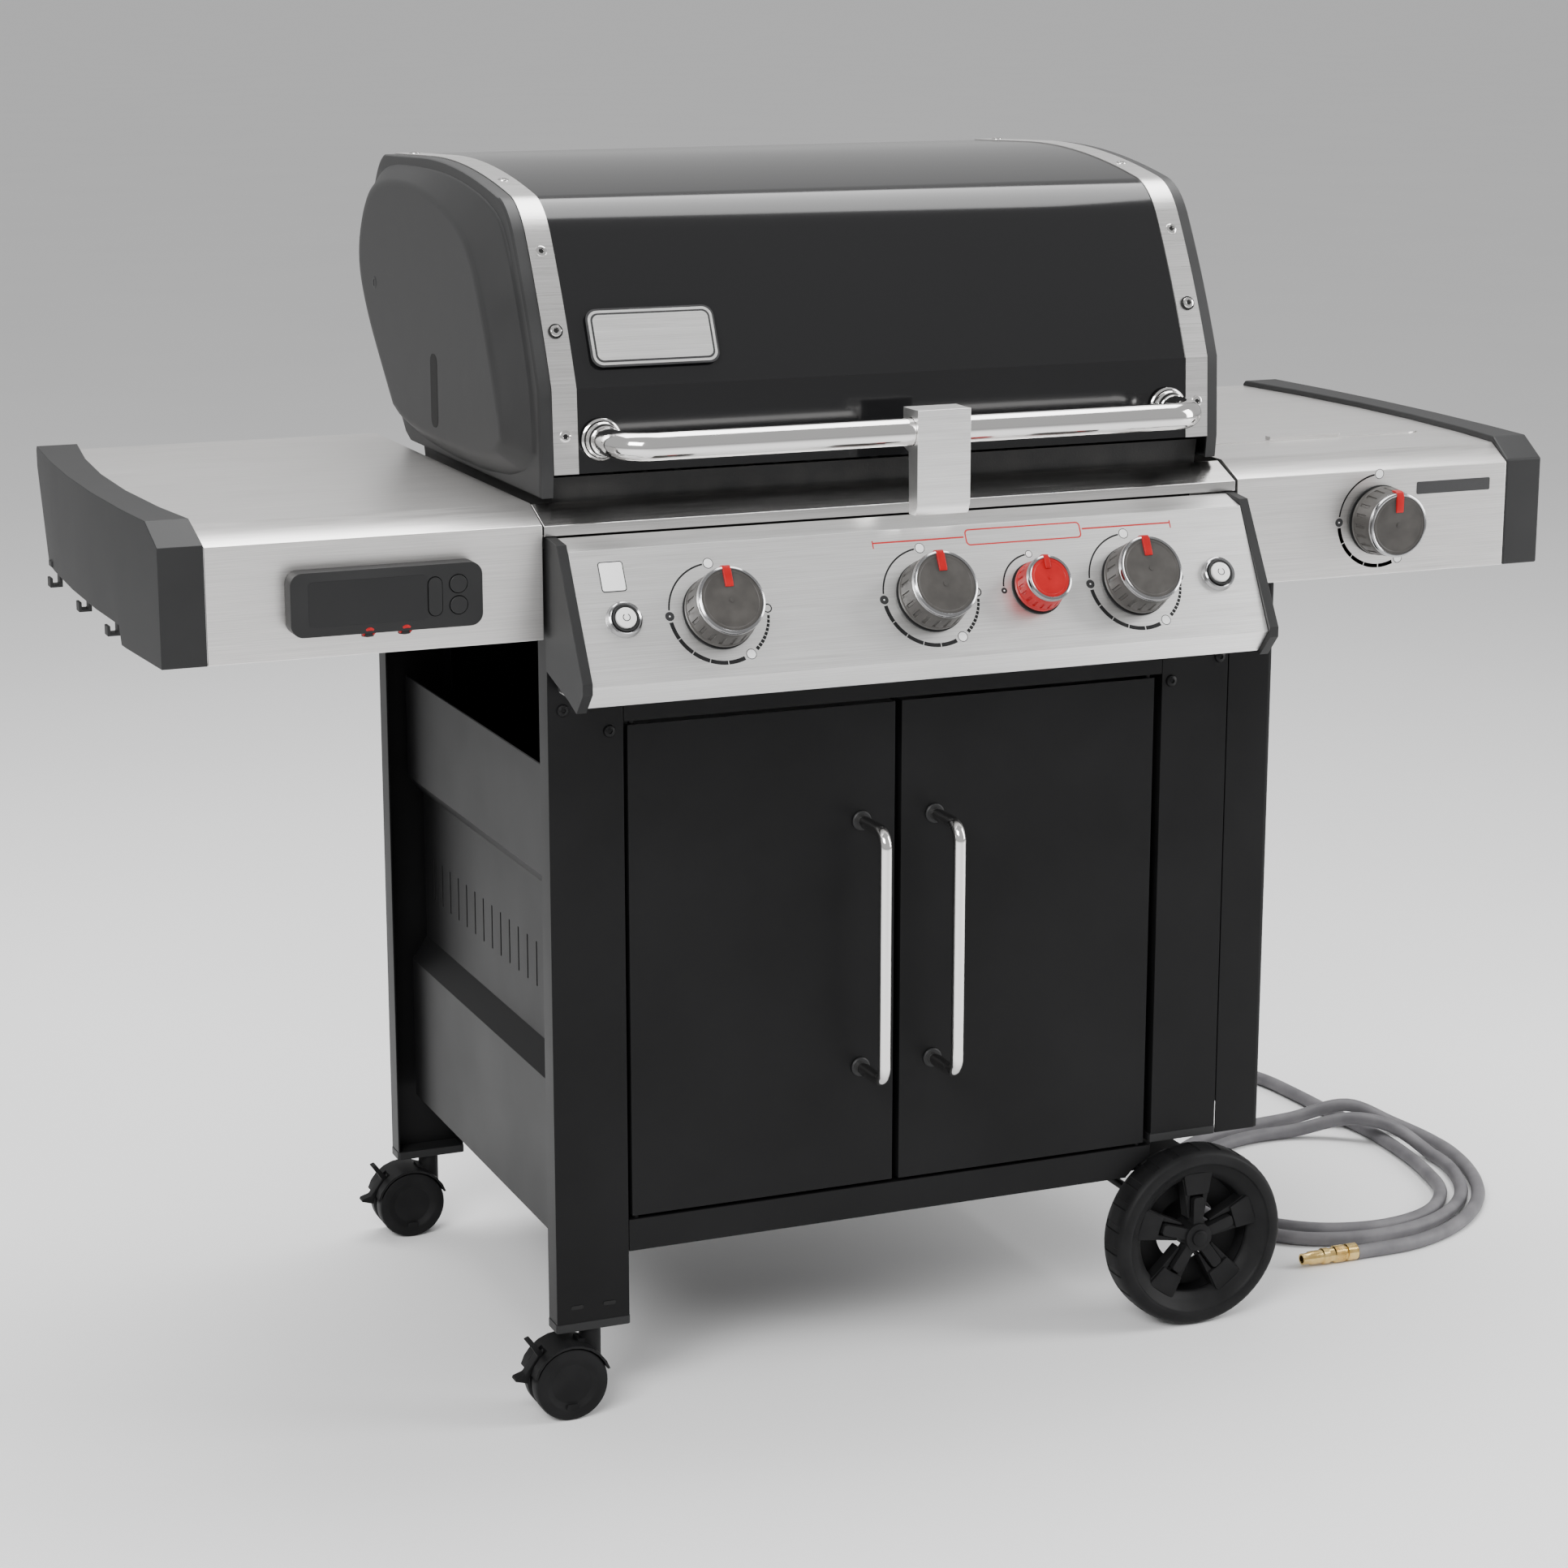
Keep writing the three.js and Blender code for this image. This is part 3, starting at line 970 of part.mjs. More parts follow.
class FloorCurve extends THREE.CatmullRomCurve3 {
  getPoint(t, target) {
    const point = super.getPoint(t, target);
    point.z = Math.max(point.z, HOSE_RADIUS);
    return point;
  }
}

const hoseCurve = new FloorCurve(hoseRoute.map((p) => at(...p)), false, 'centripetal');
piece('gas_hose', tubeAlong(hoseCurve, HOSE_RADIUS, 8, 80), hoseGrey);

{
  const [x, y, z] = hoseRoute[hoseRoute.length - 1];
  const profile = [
    [0, 0], [9, 0], [9, 14], [10, 15], [10, 28], [8.5, 29], [8.5, 36], [9.5, 37], [9.5, 44], [8, 45],
    [8, 62], [6.5, 64], [6.5, 70], [4.5, 70], [4.5, 50], [0, 50],
  ];
  const base = at(x - 0.5, y, 10.2);
  piece('hose_connector', turned(profile, base, base.clone().add(at(-1, 0, 0)), 14), brass);
}

export default grill;
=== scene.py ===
import math
import bpy
import bmesh
from mathutils import Matrix, Vector


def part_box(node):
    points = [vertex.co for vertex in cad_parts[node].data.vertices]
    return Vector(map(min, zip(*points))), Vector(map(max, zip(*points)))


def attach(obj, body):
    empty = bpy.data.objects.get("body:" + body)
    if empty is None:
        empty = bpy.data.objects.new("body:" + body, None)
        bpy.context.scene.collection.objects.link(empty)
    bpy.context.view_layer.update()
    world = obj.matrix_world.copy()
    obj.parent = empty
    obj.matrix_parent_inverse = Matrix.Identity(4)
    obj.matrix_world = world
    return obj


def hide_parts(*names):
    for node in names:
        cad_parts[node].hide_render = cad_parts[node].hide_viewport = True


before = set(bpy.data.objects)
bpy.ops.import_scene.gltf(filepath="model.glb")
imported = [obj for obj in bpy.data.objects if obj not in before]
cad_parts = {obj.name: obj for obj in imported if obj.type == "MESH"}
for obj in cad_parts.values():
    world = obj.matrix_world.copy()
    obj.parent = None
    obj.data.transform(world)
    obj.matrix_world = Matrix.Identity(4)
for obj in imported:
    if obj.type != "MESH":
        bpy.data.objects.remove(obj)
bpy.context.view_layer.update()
mm = 0.001

# ---- where the grill is seen from ----------------------------------------------------------
# A long lens at chest height, from the front and a little to the left, so that the left table's
# end and the whole of the front show together.
camera_lens = bpy.data.cameras.new("camera")
camera_lens.lens = 80.94
camera_lens.sensor_width = 36
camera_lens.clip_end = 400
camera = bpy.data.objects.new("camera", camera_lens)
camera.location = (-1.4148, -3.3556, 1.4463)
camera.rotation_euler = Vector((0.3725, 0.8978, -0.2352)).to_track_quat("-Z", "Y").to_euler()
bpy.context.scene.collection.objects.link(camera)
bpy.context.scene.camera = camera


# ---- paint shop ----------------------------------------------------------------------------
# Every finish on the grill is mixed here from procedural grain: a Finish is one material, and a
# Shade is one value in it that can be added to, scaled or turned round like a number.
class Shade:
    def __init__(self, finish, socket):
        self.finish, self.socket = finish, socket

    def sum(self, operation, first, second):
        return self.finish.add("ShaderNodeMath", {"operation": operation}, {0: first, 1: second})

    def __add__(self, other):
        return self.sum("ADD", self, other)

    def __sub__(self, other):
        return self.sum("SUBTRACT", self, other)

    def __rsub__(self, other):
        return self.sum("SUBTRACT", other, self)

    def __mul__(self, other):
        return self.sum("MULTIPLY", self, other)

    __radd__ = __add__
    __rmul__ = __mul__


class Finish:
    def __init__(self, name, colour, roughness, **fixed):
        self.material = bpy.data.materials.new(name)
        self.material.use_nodes = True
        self.tree = self.material.node_tree
        self.shader = self.tree.nodes["Principled BSDF"]
        self.feed("Base Color", (*colour, 1))
        self.feed("Roughness", roughness)
        for socket, value in fixed.items():
            self.feed(socket.replace("_", " "), value)
        self.place = self.add("ShaderNodeTexCoord", output="Object")

    def add(self, kind, settings=None, inputs=None, output=0):
        node = self.tree.nodes.new(kind)
        for key, value in (settings or {}).items():
            if key == "stops":
                while len(node.color_ramp.elements) < len(value):
                    node.color_ramp.elements.new(1)
                for stop, (position, level) in zip(node.color_ramp.elements, value):
                    stop.position, stop.color = position, (level, level, level, 1)
            else:
                setattr(node, key, value)
        for key, value in (inputs or {}).items():
            if isinstance(value, Shade):
                self.tree.links.new(value.socket, node.inputs[key])
            else:
                node.inputs[key].default_value = value
        return Shade(self, node.outputs[output])

    def feed(self, socket, value):
        if isinstance(value, Shade):
            self.tree.links.new(value.socket, self.shader.inputs[socket])
        else:
            self.shader.inputs[socket].default_value = value

    def grain(self, scale, detail=3, stretch=(1, 1, 1), roughness=0.5):
        drawn = self.add("ShaderNodeMapping", None, {"Vector": self.place, "Scale": stretch})
        return self.add("ShaderNodeTexNoise", None,
                        {"Vector": drawn, "Scale": scale, "Detail": detail, "Roughness": roughness})

    def band(self, value, low, high):
        return self.add("ShaderNodeMapRange", None,
                        {"Value": value, "From Min": low, "From Max": high})

    def blend(self, first, second, how_much):
        return self.add("ShaderNodeMix", {"data_type": "RGBA"},
                        {0: how_much, 6: first, 7: second}, output=2)

    def tint(self, dark, light, how_much):
        self.feed("Base Color", self.blend((*dark, 1), (*light, 1), how_much))

    def relief(self, height, distance, strength=1):
        bump = self.add("ShaderNodeBump", None,
                        {"Height": height, "Distance": distance, "Strength": strength})
        self.feed("Normal", bump)


# ---- floor and light -----------------------------------------------------------------------
# A pale seamless studio floor, a bright room, and three soft boxes: one over the left shoulder,
# one above the lid and a low one on the right.
studio = Finish("studio_floor", (0.86, 0.86, 0.86), 0.9)
studio.tint((0.84, 0.84, 0.845), (0.88, 0.88, 0.88), studio.grain(1.5))
floor_bm = bmesh.new()
bmesh.ops.create_grid(floor_bm, x_segments=1, y_segments=1, size=90)
floor_mesh = bpy.data.meshes.new("floor")
floor_bm.to_mesh(floor_mesh)
floor_bm.free()
floor_mesh.materials.append(studio.material)
floor = bpy.data.objects.new("floor", floor_mesh)
bpy.context.scene.collection.objects.link(floor)

room = bpy.data.worlds.new("room")
room.use_nodes = True
room.node_tree.nodes["Background"].inputs["Color"].default_value = (1, 1, 1, 1)
room.node_tree.nodes["Background"].inputs["Strength"].default_value = 0.6
bpy.context.scene.world = room


def soft_box(name, place, aim, width, height, power):
    lamp = bpy.data.lights.new(name, "AREA")
    lamp.shape = "RECTANGLE"
    lamp.size, lamp.size_y, lamp.energy = width, height, power
    box = bpy.data.objects.new(name, lamp)
    box.location = place
    box.rotation_euler = (Vector(aim) - Vector(place)).to_track_quat("-Z", "Y").to_euler()
    bpy.context.scene.collection.objects.link(box)


soft_box("key_box", (-2.6, -2.8, 3.0), (0, 0, 0.7), 2.4, 1.6, 210)
soft_box("top_box", (0.3, 0.6, 3.4), (0.1, 0, 0.9), 3.2, 2.0, 150)
soft_box("side_box", (3.0, -1.4, 1.7), (0.2, 0, 0.6), 1.2, 2.4, 90)


# ---- gas hose ------------------------------------------------------------------------------
# A grey rubber gas hose from the outlet at the back, down to the floor and round in loose turns
# to a brass quick connector. It is swept along its own centreline.
HOSE_RADIUS = 8 * mm
hose_route = [
    (262, 346.5, 330), (262, 420, 326), (266, 478, 288), (280, 505, 215), (308, 512, 130),
    (352, 506, 58), (425, 498, 14), (520, 496, 8), (620, 500, 8), (720, 500, 8), (784, 468, 8),
    (812, 404, 8), (820, 340, 8), (825, 260, 8), (832, 180, 8), (829, 100, 8), (818, 30, 8),
    (795, -40, 8), (740, -94, 8), (665, -110, 8), (590, -86, 8), (540, -28, 8), (526, 50, 8),
    (550, 130, 8), (604, 184, 8), (680, 213, 8), (745, 210, 10), (806, 180, 27), (838, 140, 26),
    (856, 72, 8), (846, 10, 8), (805, -66, 8), (735, -118, 8), (650, -134, 8), (570, -112, 8),
    (520, -52, 8), (503, 40, 8), (524, 130, 8), (590, 208, 8), (680, 246, 8), (762, 247, 12),
    (828, 224, 28), (866, 180, 14), (884, 107, 8), (872, 25, 8), (830, -66, 8), (760, -134, 8),
    (680, -168, 8), (600, -171, 8),
]


def through(points, steps):
    """A smooth line through every point, with tighter turns where the points are closer."""
    points = [Vector(p) * mm for p in points]
    ends = [2 * points[0] - points[1], *points, 2 * points[-1] - points[-2]]
    line = []
    for a, b, c, d in zip(ends, ends[1:], ends[2:], ends[3:]):
        before, here, after = ((q - p).length ** 0.5 for p, q in ((a, b), (b, c), (c, d)))
        leave = ((b - a) / before - (c - a) / (before + here) + (c - b) / here) * here
        arrive = ((c - b) / here - (d - b) / (here + after) + (d - c) / after) * here
        for k in range(steps):
            t = k / steps
            line.append(b * (2 * t**3 - 3 * t**2 + 1) + leave * (t**3 - 2 * t**2 + t)
                        + c * (3 * t**2 - 2 * t**3) + arrive * (t**3 - t**2))
    line.append(points[-1])
    return [Vector((p.x, p.y, max(p.z, HOSE_RADIUS))) for p in line]


hose_line = through(hose_route, 8)

rubber_hose = Finish("hose_rubber", (0.17, 0.165, 0.175), 0.55, Specular_IOR_Level=0.35)
scuffs = rubber_hose.grain(26, 5)
rubber_hose.tint((0.105, 0.102, 0.109), (0.165, 0.16, 0.168), rubber_hose.band(scuffs, 0.35, 0.7))
rubber_hose.feed("Roughness", scuffs * 0.25 + 0.42)
rubber_hose.relief(rubber_hose.grain(700, 2), 0.00012, 0.6)

hose_curve = bpy.data.curves.new("gas_hose_line", "CURVE")
hose_curve.dimensions = "3D"
hose_curve.bevel_depth = HOSE_RADIUS
hose_curve.bevel_resolution = 4
hose_curve.use_fill_caps = True
strand = hose_curve.splines.new("POLY")
strand.points.add(len(hose_line) - 1)
for point, spot in zip(strand.points, hose_line):
    point.co = (*spot, 1)
hose_curve.materials.append(rubber_hose.material)
hose = bpy.data.objects.new("rubber_hose", hose_curve)
bpy.context.scene.collection.objects.link(hose)
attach(hose, "cart")
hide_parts("gas_hose")


def turned(profile, steps):
    """A turned piece: the profile of radius and height, in millimetres, spun about Z."""
    part = bmesh.new()
    verts = [part.verts.new((r * mm, 0, h * mm)) for r, h in profile]
    edges = [part.edges.new(pair) for pair in zip(verts, verts[1:])]
    bmesh.ops.spin(part, geom=verts + edges, cent=(0, 0, 0), axis=(0, 0, 1), angle=math.tau,
                   steps=steps, use_merge=True)
    bmesh.ops.remove_doubles(part, verts=part.verts, dist=1e-6)
    bmesh.ops.recalc_face_normals(part, faces=part.faces)
    return part


def seat(place, out, up=(0, 0, 1)):
    """Stands a piece with its Z along out and its Y as near up as it goes, at a place in mm."""
    out = Vector(out).normalized()
    across = Vector(up).cross(out).normalized()
    turn = Matrix((across, out.cross(across), out)).transposed().to_4x4()
    return Matrix.Translation(Vector(place) * mm) @ turn


def gather(whole, part, place=None, finish=0):
    """Puts a part into a piece, at its place and in one of the piece's finishes."""
    if place is not None:
        bmesh.ops.transform(part, matrix=place, verts=part.verts)
    for face in part.faces:
        face.material_index = finish
    carrier = bpy.data.meshes.new("carrier")
    part.to_mesh(carrier)
    part.free()
    whole.from_mesh(carrier)
    bpy.data.meshes.remove(carrier)


def fitted(name, shape, body, finishes, replaces=(), crease=32):
    """The finished piece: smooth but for its creases, painted, and riding on its body."""
    for face in shape.faces:
        face.smooth = True
    for edge in shape.edges:
        edge.smooth = edge.calc_face_angle(0) < math.radians(crease)
    mesh = bpy.data.meshes.new(name)
    shape.to_mesh(mesh)
    shape.free()
    for finish in finishes:
        mesh.materials.append(finish.material)
    made = bpy.data.objects.new(name, mesh)
    bpy.context.scene.collection.objects.link(made)
    flats = made.modifiers.new("even_flats", "WEIGHTED_NORMAL")
    flats.keep_sharp = True
    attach(made, body)
    if replaces:
        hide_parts(*replaces)
    return made


machined_brass = Finish("machined_brass", (0.75, 0.54, 0.2), 0.24, Metallic=1.0)
tarnish = machined_brass.grain(90, 4)
machined_brass.tint((0.62, 0.41, 0.13), (0.82, 0.62, 0.27), machined_brass.band(tarnish, 0.3, 0.7))
machined_brass.feed("Roughness", tarnish * 0.2 + 0.14)
crimped_steel = Finish("crimped_steel", (0.5, 0.48, 0.45), 0.3, Metallic=1.0)
crimped_steel.feed("Roughness", crimped_steel.grain(120) * 0.25 + 0.2)

connector_low, connector_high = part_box("hose_connector")
connector_axis = (connector_low.z + connector_high.z) / 2 / mm
connector_y = (connector_low.y + connector_high.y) / 2 / mm
coupling = turned([(0, 0), (8.6, 0), (9.6, 1), (9.6, 13), (8, 14), (8, 16), (9.2, 17), (9.2, 29), (8, 30),
                   (7.6, 36), (9, 37), (9, 44), (7.6, 45), (7.6, 60), (6.4, 62), (6.4, 69.6),
                   (4.5, 69.6), (4.5, 52), (0, 52)], 40)
grip = [f for f in coupling.faces if 17.2 < f.calc_center_median().z / mm < 28.8
        and f.calc_center_median().xy.length > 8.8 * mm]
bmesh.ops.subdivide_edges(coupling, edges=list({e for f in grip for e in f.edges
                                                if abs(e.verts[0].co.z - e.verts[1].co.z) > 1 * mm}), cuts=5)
knurl = [f for f in coupling.faces if 17.2 < f.calc_center_median().z / mm < 28.8
         and f.calc_center_median().xy.length > 8.8 * mm]
bmesh.ops.inset_individual(coupling, faces=knurl, thickness=0.25 * mm, depth=0.3 * mm)
connector = bmesh.new()
gather(connector, coupling, seat((connector_high.x / mm - 0.1, connector_y, connector_axis), (-1, 0, 0)))
coupler = fitted("quick_connector", connector, "cart", [machined_brass], ["hose_connector"])

sleeve = bmesh.new()
gather(sleeve, turned([(8.2, 0), (9.4, 0), (9.8, 2), (9.4, 6), (9.8, 10), (9.4, 14), (9.8, 18),
                       (8.4, 40), (8.2, 40), (8.2, 0)], 32), seat((262, 347, 330), (0, 1, 0)))
hose_sleeve = fitted("hose_sleeve", sleeve, "cart", [crimped_steel])


# ---- cabinet -------------------------------------------------------------------------------
# Four folded steel legs, two side panels, a back panel, a bottom pan and a header, all pressed
# from sheet, powder coated satin black and bolted together. Folded edges are eased, not sharp.
powder_coat = Finish("powder_coat", (0.005, 0.005, 0.0052), 0.42, Specular_IOR_Level=0.13)
coat_cloud = powder_coat.grain(7, 4)
coat_patch = powder_coat.band(coat_cloud, 0.3, 0.7)
powder_coat.tint((0.0038, 0.0038, 0.004), (0.0064, 0.0064, 0.0067), coat_patch)
powder_coat.feed("Roughness", coat_cloud * 0.16 + 0.33)
powder_coat.relief(powder_coat.grain(950, 2), 0.00006, 0.5)


def eased(node, width, steps=2, angle=28):
    """A copy of a framed piece with its corners rounded over by a width in millimetres."""
    shape = bmesh.new()
    shape.from_mesh(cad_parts[node].data)
    bmesh.ops.remove_doubles(shape, verts=shape.verts, dist=1e-5)
    bmesh.ops.dissolve_limit(shape, angle_limit=math.radians(1), verts=shape.verts, edges=shape.edges)
    corners = [e for e in shape.edges if e.calc_face_angle(0) > math.radians(angle)]
    bmesh.ops.bevel(shape, geom=corners, offset=width * mm, offset_type="OFFSET", segments=steps,
                    profile=0.5, affect="EDGES", clamp_overlap=True, material=-1)
    return shape


cabinet_pieces = {
    "leg_front_left": 0.8, "leg_rear_left": 0.8, "leg_front_right": 0.8, "leg_rear_right": 0.8,
    "side_panel_left": 0.7, "side_panel_right": 0.7, "bottom_pan": 0.7, "front_header": 0.8,
    "rear_panel": 0.7,
}
for node, width in cabinet_pieces.items():
    fitted(f"pressed_{node}", eased(node, width), "cart", [powder_coat], [node])


def slab(outline, thickness, ease=0, steps=2):
    """A flat plate of an outline in millimetres, its thickness along Z and its edges eased."""
    part = bmesh.new()
    plate = part.faces.new([part.verts.new((x * mm, y * mm, 0)) for x, y in outline])
    lifted = bmesh.ops.extrude_face_region(part, geom=[plate])
    rise = [v for v in lifted["geom"] if isinstance(v, bmesh.types.BMVert)]
    bmesh.ops.translate(part, verts=rise, vec=(0, 0, thickness * mm))
    bmesh.ops.recalc_face_normals(part, faces=part.faces)
    if ease:
        rims = [e for e in part.edges if e.calc_face_angle(0) > math.radians(40)]
        bmesh.ops.bevel(part, geom=rims, offset=ease * mm, offset_type="OFFSET", segments=steps,
                        profile=0.5, affect="EDGES", clamp_overlap=True, material=-1)
    return part


def rounded(width, height, corner, steps=6):
    """The outline of a rectangle with round corners, about its middle."""
    outline = []
    for cx, cy, start in ((1, 1, 0), (-1, 1, 90), (-1, -1, 180), (1, -1, 270)):
        for k in range(steps + 1):
            angle = math.radians(start + 90 * k / steps)
            outline.append((cx * (width / 2 - corner) + corner * math.cos(angle),
                            cy * (height / 2 - corner) + corner * math.sin(angle)))
    return outline


# Round-headed bolts hold the legs to the frame, and each left leg stands on a moulded foot.
bolt_profile = [(0, -1), (6.2, -1), (6.2, 0.6), (5.4, 2.0), (3.2, 3.1), (2.2, 3.2), (2.2, 2.0), (0, 2.0)]
leg_bolts = bmesh.new()
leg_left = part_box("leg_front_left")
leg_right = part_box("leg_front_right")
front_face = leg_left[0].y / mm
for x, z in ((-352, 724), (-305, 700), (362, 721), (306, 700)):
    gather(leg_bolts, turned(bolt_profile, 20), seat((x, front_face, z), (0, -1, 0)))
for x, z in ((-352, 643), (-352, 186), (-352, 330)):
    gather(leg_bolts, turned(bolt_profile, 20),
           seat((x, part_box("leg_rear_left")[1].y / mm, z), (0, 1, 0)))
for z in (230, 480, 760):
    for y in (-205, 298):
        gather(leg_bolts, turned(bolt_profile, 20),
               seat((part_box("side_panel_right")[1].x / mm - 0.2, y, z), (1, 0, 0)))
gather(leg_bolts, slab([(-4, -292), (4, -292), (4, 292), (-4, 292)], 2), seat((372.5, -213, 497), (0, -1, 0)))
fitted("cabinet_bolts", leg_bolts, "cart", [powder_coat])

moulded_grey = Finish("moulded_grey", (0.012, 0.0121, 0.0125), 0.5, Specular_IOR_Level=0.28)
mould_cloud = moulded_grey.grain(9, 4)
mould_patch = moulded_grey.band(mould_cloud, 0.3, 0.7)
moulded_grey.tint((0.0095, 0.0096, 0.0099), (0.0145, 0.0147, 0.0151), mould_patch)
moulded_grey.feed("Roughness", mould_cloud * 0.15 + 0.42)
moulded_grey.relief(moulded_grey.grain(1500, 2), 0.00007, 0.7)

feet = bmesh.new()
for node in ("leg_front_left", "leg_rear_left", "leg_front_right", "leg_rear_right"):
    low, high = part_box(node)
    centre = ((low.x + high.x) / 2 / mm, (low.y + high.y) / 2 / mm, low.z / mm - 0.4)
    width, depth = (high.x - low.x) / mm + 1.6, (high.y - low.y) / mm + 1.6
    collar = slab(rounded(width, depth, 3), 9, 0.8)
    gather(feet, collar, seat(centre, (0, 0, 1), (0, 1, 0)))
fitted("foot_caps", feet, "cart", [moulded_grey])

# Slots low in the left legs, where the casters' frames are screwed in, drawn as near-black plates: painted shade.
# A near-black matte finish that paints shade into slots, gaps, sockets and creases.
painted_gap_shade = Finish("painted_gap_shade", (0.002, 0.002, 0.002), 0.9)
painted_gap_shade.feed("Roughness", painted_gap_shade.grain(80) * 0.1 + 0.85)
painted_slot_shade = bmesh.new()
for x in (-346, -312):
    gather(painted_slot_shade, slab(rounded(13, 4, 1.9), 0.4), seat((x, front_face - 0.35, 116), (0, -1, 0)))
fitted("painted_slot_shade", painted_slot_shade, "cart", [painted_gap_shade])


# ---- doors ---------------------------------------------------------------------------------
# Two pan-shaped steel doors on pins at their outer edges. Each has a polished bar held between
# two black elbows.
polished = Finish("polished_steel", (0.72, 0.71, 0.7), 0.07, Metallic=1.0)
smudge = polished.grain(14, 5)
polished.feed("Roughness", polished.band(smudge, 0.35, 0.75) * 0.12 + 0.05)

def pushed(shape, faces, vector):
    """Draws the end of a bar out straight, and gives back its new end."""
    drawn = bmesh.ops.extrude_face_region(shape, geom=faces)["geom"]
    verts = [v for v in drawn if isinstance(v, bmesh.types.BMVert)]
    bmesh.ops.translate(shape, verts=verts, vec=Vector(vector) * mm)
    return [f for f in drawn if isinstance(f, bmesh.types.BMFace)]


def bent_bar(radius, corner, start, out, along):
    """A round bar bent like a staple: out from its start, along, and back, in millimetres."""
    bar = bmesh.new()
    start, out, along = Vector(start), Vector(out), Vector(along)
    away, side = out.normalized(), along.normalized()
    bmesh.ops.create_circle(bar, cap_ends=True, radius=radius * mm, segments=36)
    bmesh.ops.transform(bar, matrix=seat(start, away, side), verts=bar.verts)
    end = pushed(bar, bar.faces[:], out - away * corner)
    hub = start + out - away * corner
    for centre, length in ((hub + side * corner, along - 2 * side * corner),
                           (hub + along - side * corner, corner * away - out)):
        spun = bmesh.ops.spin(bar, geom=end, cent=centre * mm, axis=away.cross(side), angle=math.pi / 2, steps=12)
        end = [f for f in spun["geom_last"] if isinstance(f, bmesh.types.BMFace)]
        end = pushed(bar, end, length)
    bmesh.ops.remove_doubles(bar, verts=bar.verts, dist=1e-6)
    inner = [f for f in bar.faces if len(f.verts) > 4
             and (f.calc_center_median() - start * mm).dot(away) > 1 * mm]
    bmesh.ops.delete(bar, geom=inner, context="FACES_ONLY")
    bmesh.ops.recalc_face_normals(bar, faces=bar.faces)
    return bar


for side in ("left", "right"):
    door = f"door_{side}"
    fitted(f"pressed_{door}", eased(door, 1.4, 3), door, [powder_coat], [door])
    low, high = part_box(f"door_handle_{side}")
    x = (low.x + high.x) / 2 / mm
    bar_radius = (high.x - low.x) / 2 / mm
    out = low.y / mm + bar_radius
    foot = high.y / mm
    bottom, top = low.z / mm + bar_radius, high.z / mm - bar_radius
    handle = bmesh.new()
    gather(handle, bent_bar(bar_radius, 16, (x, foot, bottom), (0, out - foot, 0), (0, 0, top - bottom)))
    for z in (bottom, top):
        gather(handle, turned([(0, 0), (10, 0), (10, 1.6), (8.8, 2.6), (0, 2.6)], 28), seat((x, foot, z), (0, -1, 0)), 1)
    fitted(f"bar_{side}", handle, door, [polished, moulded_grey], [f"door_handle_{side}"])


# ---- casters -------------------------------------------------------------------------------
# Twin-wheel furniture casters of moulded plastic under the left legs: a hood over both wheels,
# a brake lever at the back, and dished covers on the wheels.
tyre_plastic = Finish("tyre_plastic", (0.008, 0.008, 0.0084), 0.55, Specular_IOR_Level=0.14)
road_dust = tyre_plastic.grain(30, 5)
dust_patch = tyre_plastic.band(road_dust, 0.4, 0.75)
tyre_plastic.tint((0.0055, 0.0055, 0.0058), (0.0105, 0.0105, 0.0109), dust_patch)
tyre_plastic.feed("Roughness", road_dust * 0.25 + 0.4)
tyre_plastic.relief(tyre_plastic.grain(800, 2), 0.0001, 0.6)

for end in ("front", "rear"):
    fitted(f"hood_{end}", eased(f"caster_hood_{end}", 0.8), f"caster_swivel_{end}", [tyre_plastic],
           [f"caster_hood_{end}"])
    fitted(f"brake_{end}", eased(f"brake_lever_{end}", 1.0), f"caster_brake_{end}", [tyre_plastic],
           [f"brake_lever_{end}"])
    low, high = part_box(f"caster_wheels_{end}")
    centre = (low + high) / 2 / mm
    radius = (high.z - low.z) / 2 / mm
    half = (high.y - low.y) / 2 / mm
    discs = bmesh.new()
    for face in (-1, 1):
        profile = [(0, 4.8), (radius - 2, 4.8), (radius, 7), (radius, half - 4), (radius - 1.2, half - 1.2),
                   (radius - 4, half), (radius - 10, half), (radius - 12, half - 1.2), (radius - 17, half - 3.6),
                   (radius - 18, half - 3.8), (0, half - 3.8)]
        gather(discs, turned(profile, 56), seat(centre, (0, face, 0)))
        notch = slab([(-8, -radius + 8), (8, -radius + 8), (5.6, -radius + 17.5), (-5.6, -radius + 17.5)], 2.4, 0.7)
        gather(discs, notch, seat(centre, (0, face, 0)) @ Matrix.Translation((0, 0, (half - 3) * mm)))
    gather(discs, turned([(0, -6), (6.5, -6), (6.5, 6), (0, 6)], 20), seat(centre, (0, 1, 0)))
    fitted(f"twin_wheels_{end}", discs, f"caster_wheels_{end}", [tyre_plastic],
           [f"caster_wheels_{end}"], crease=40)


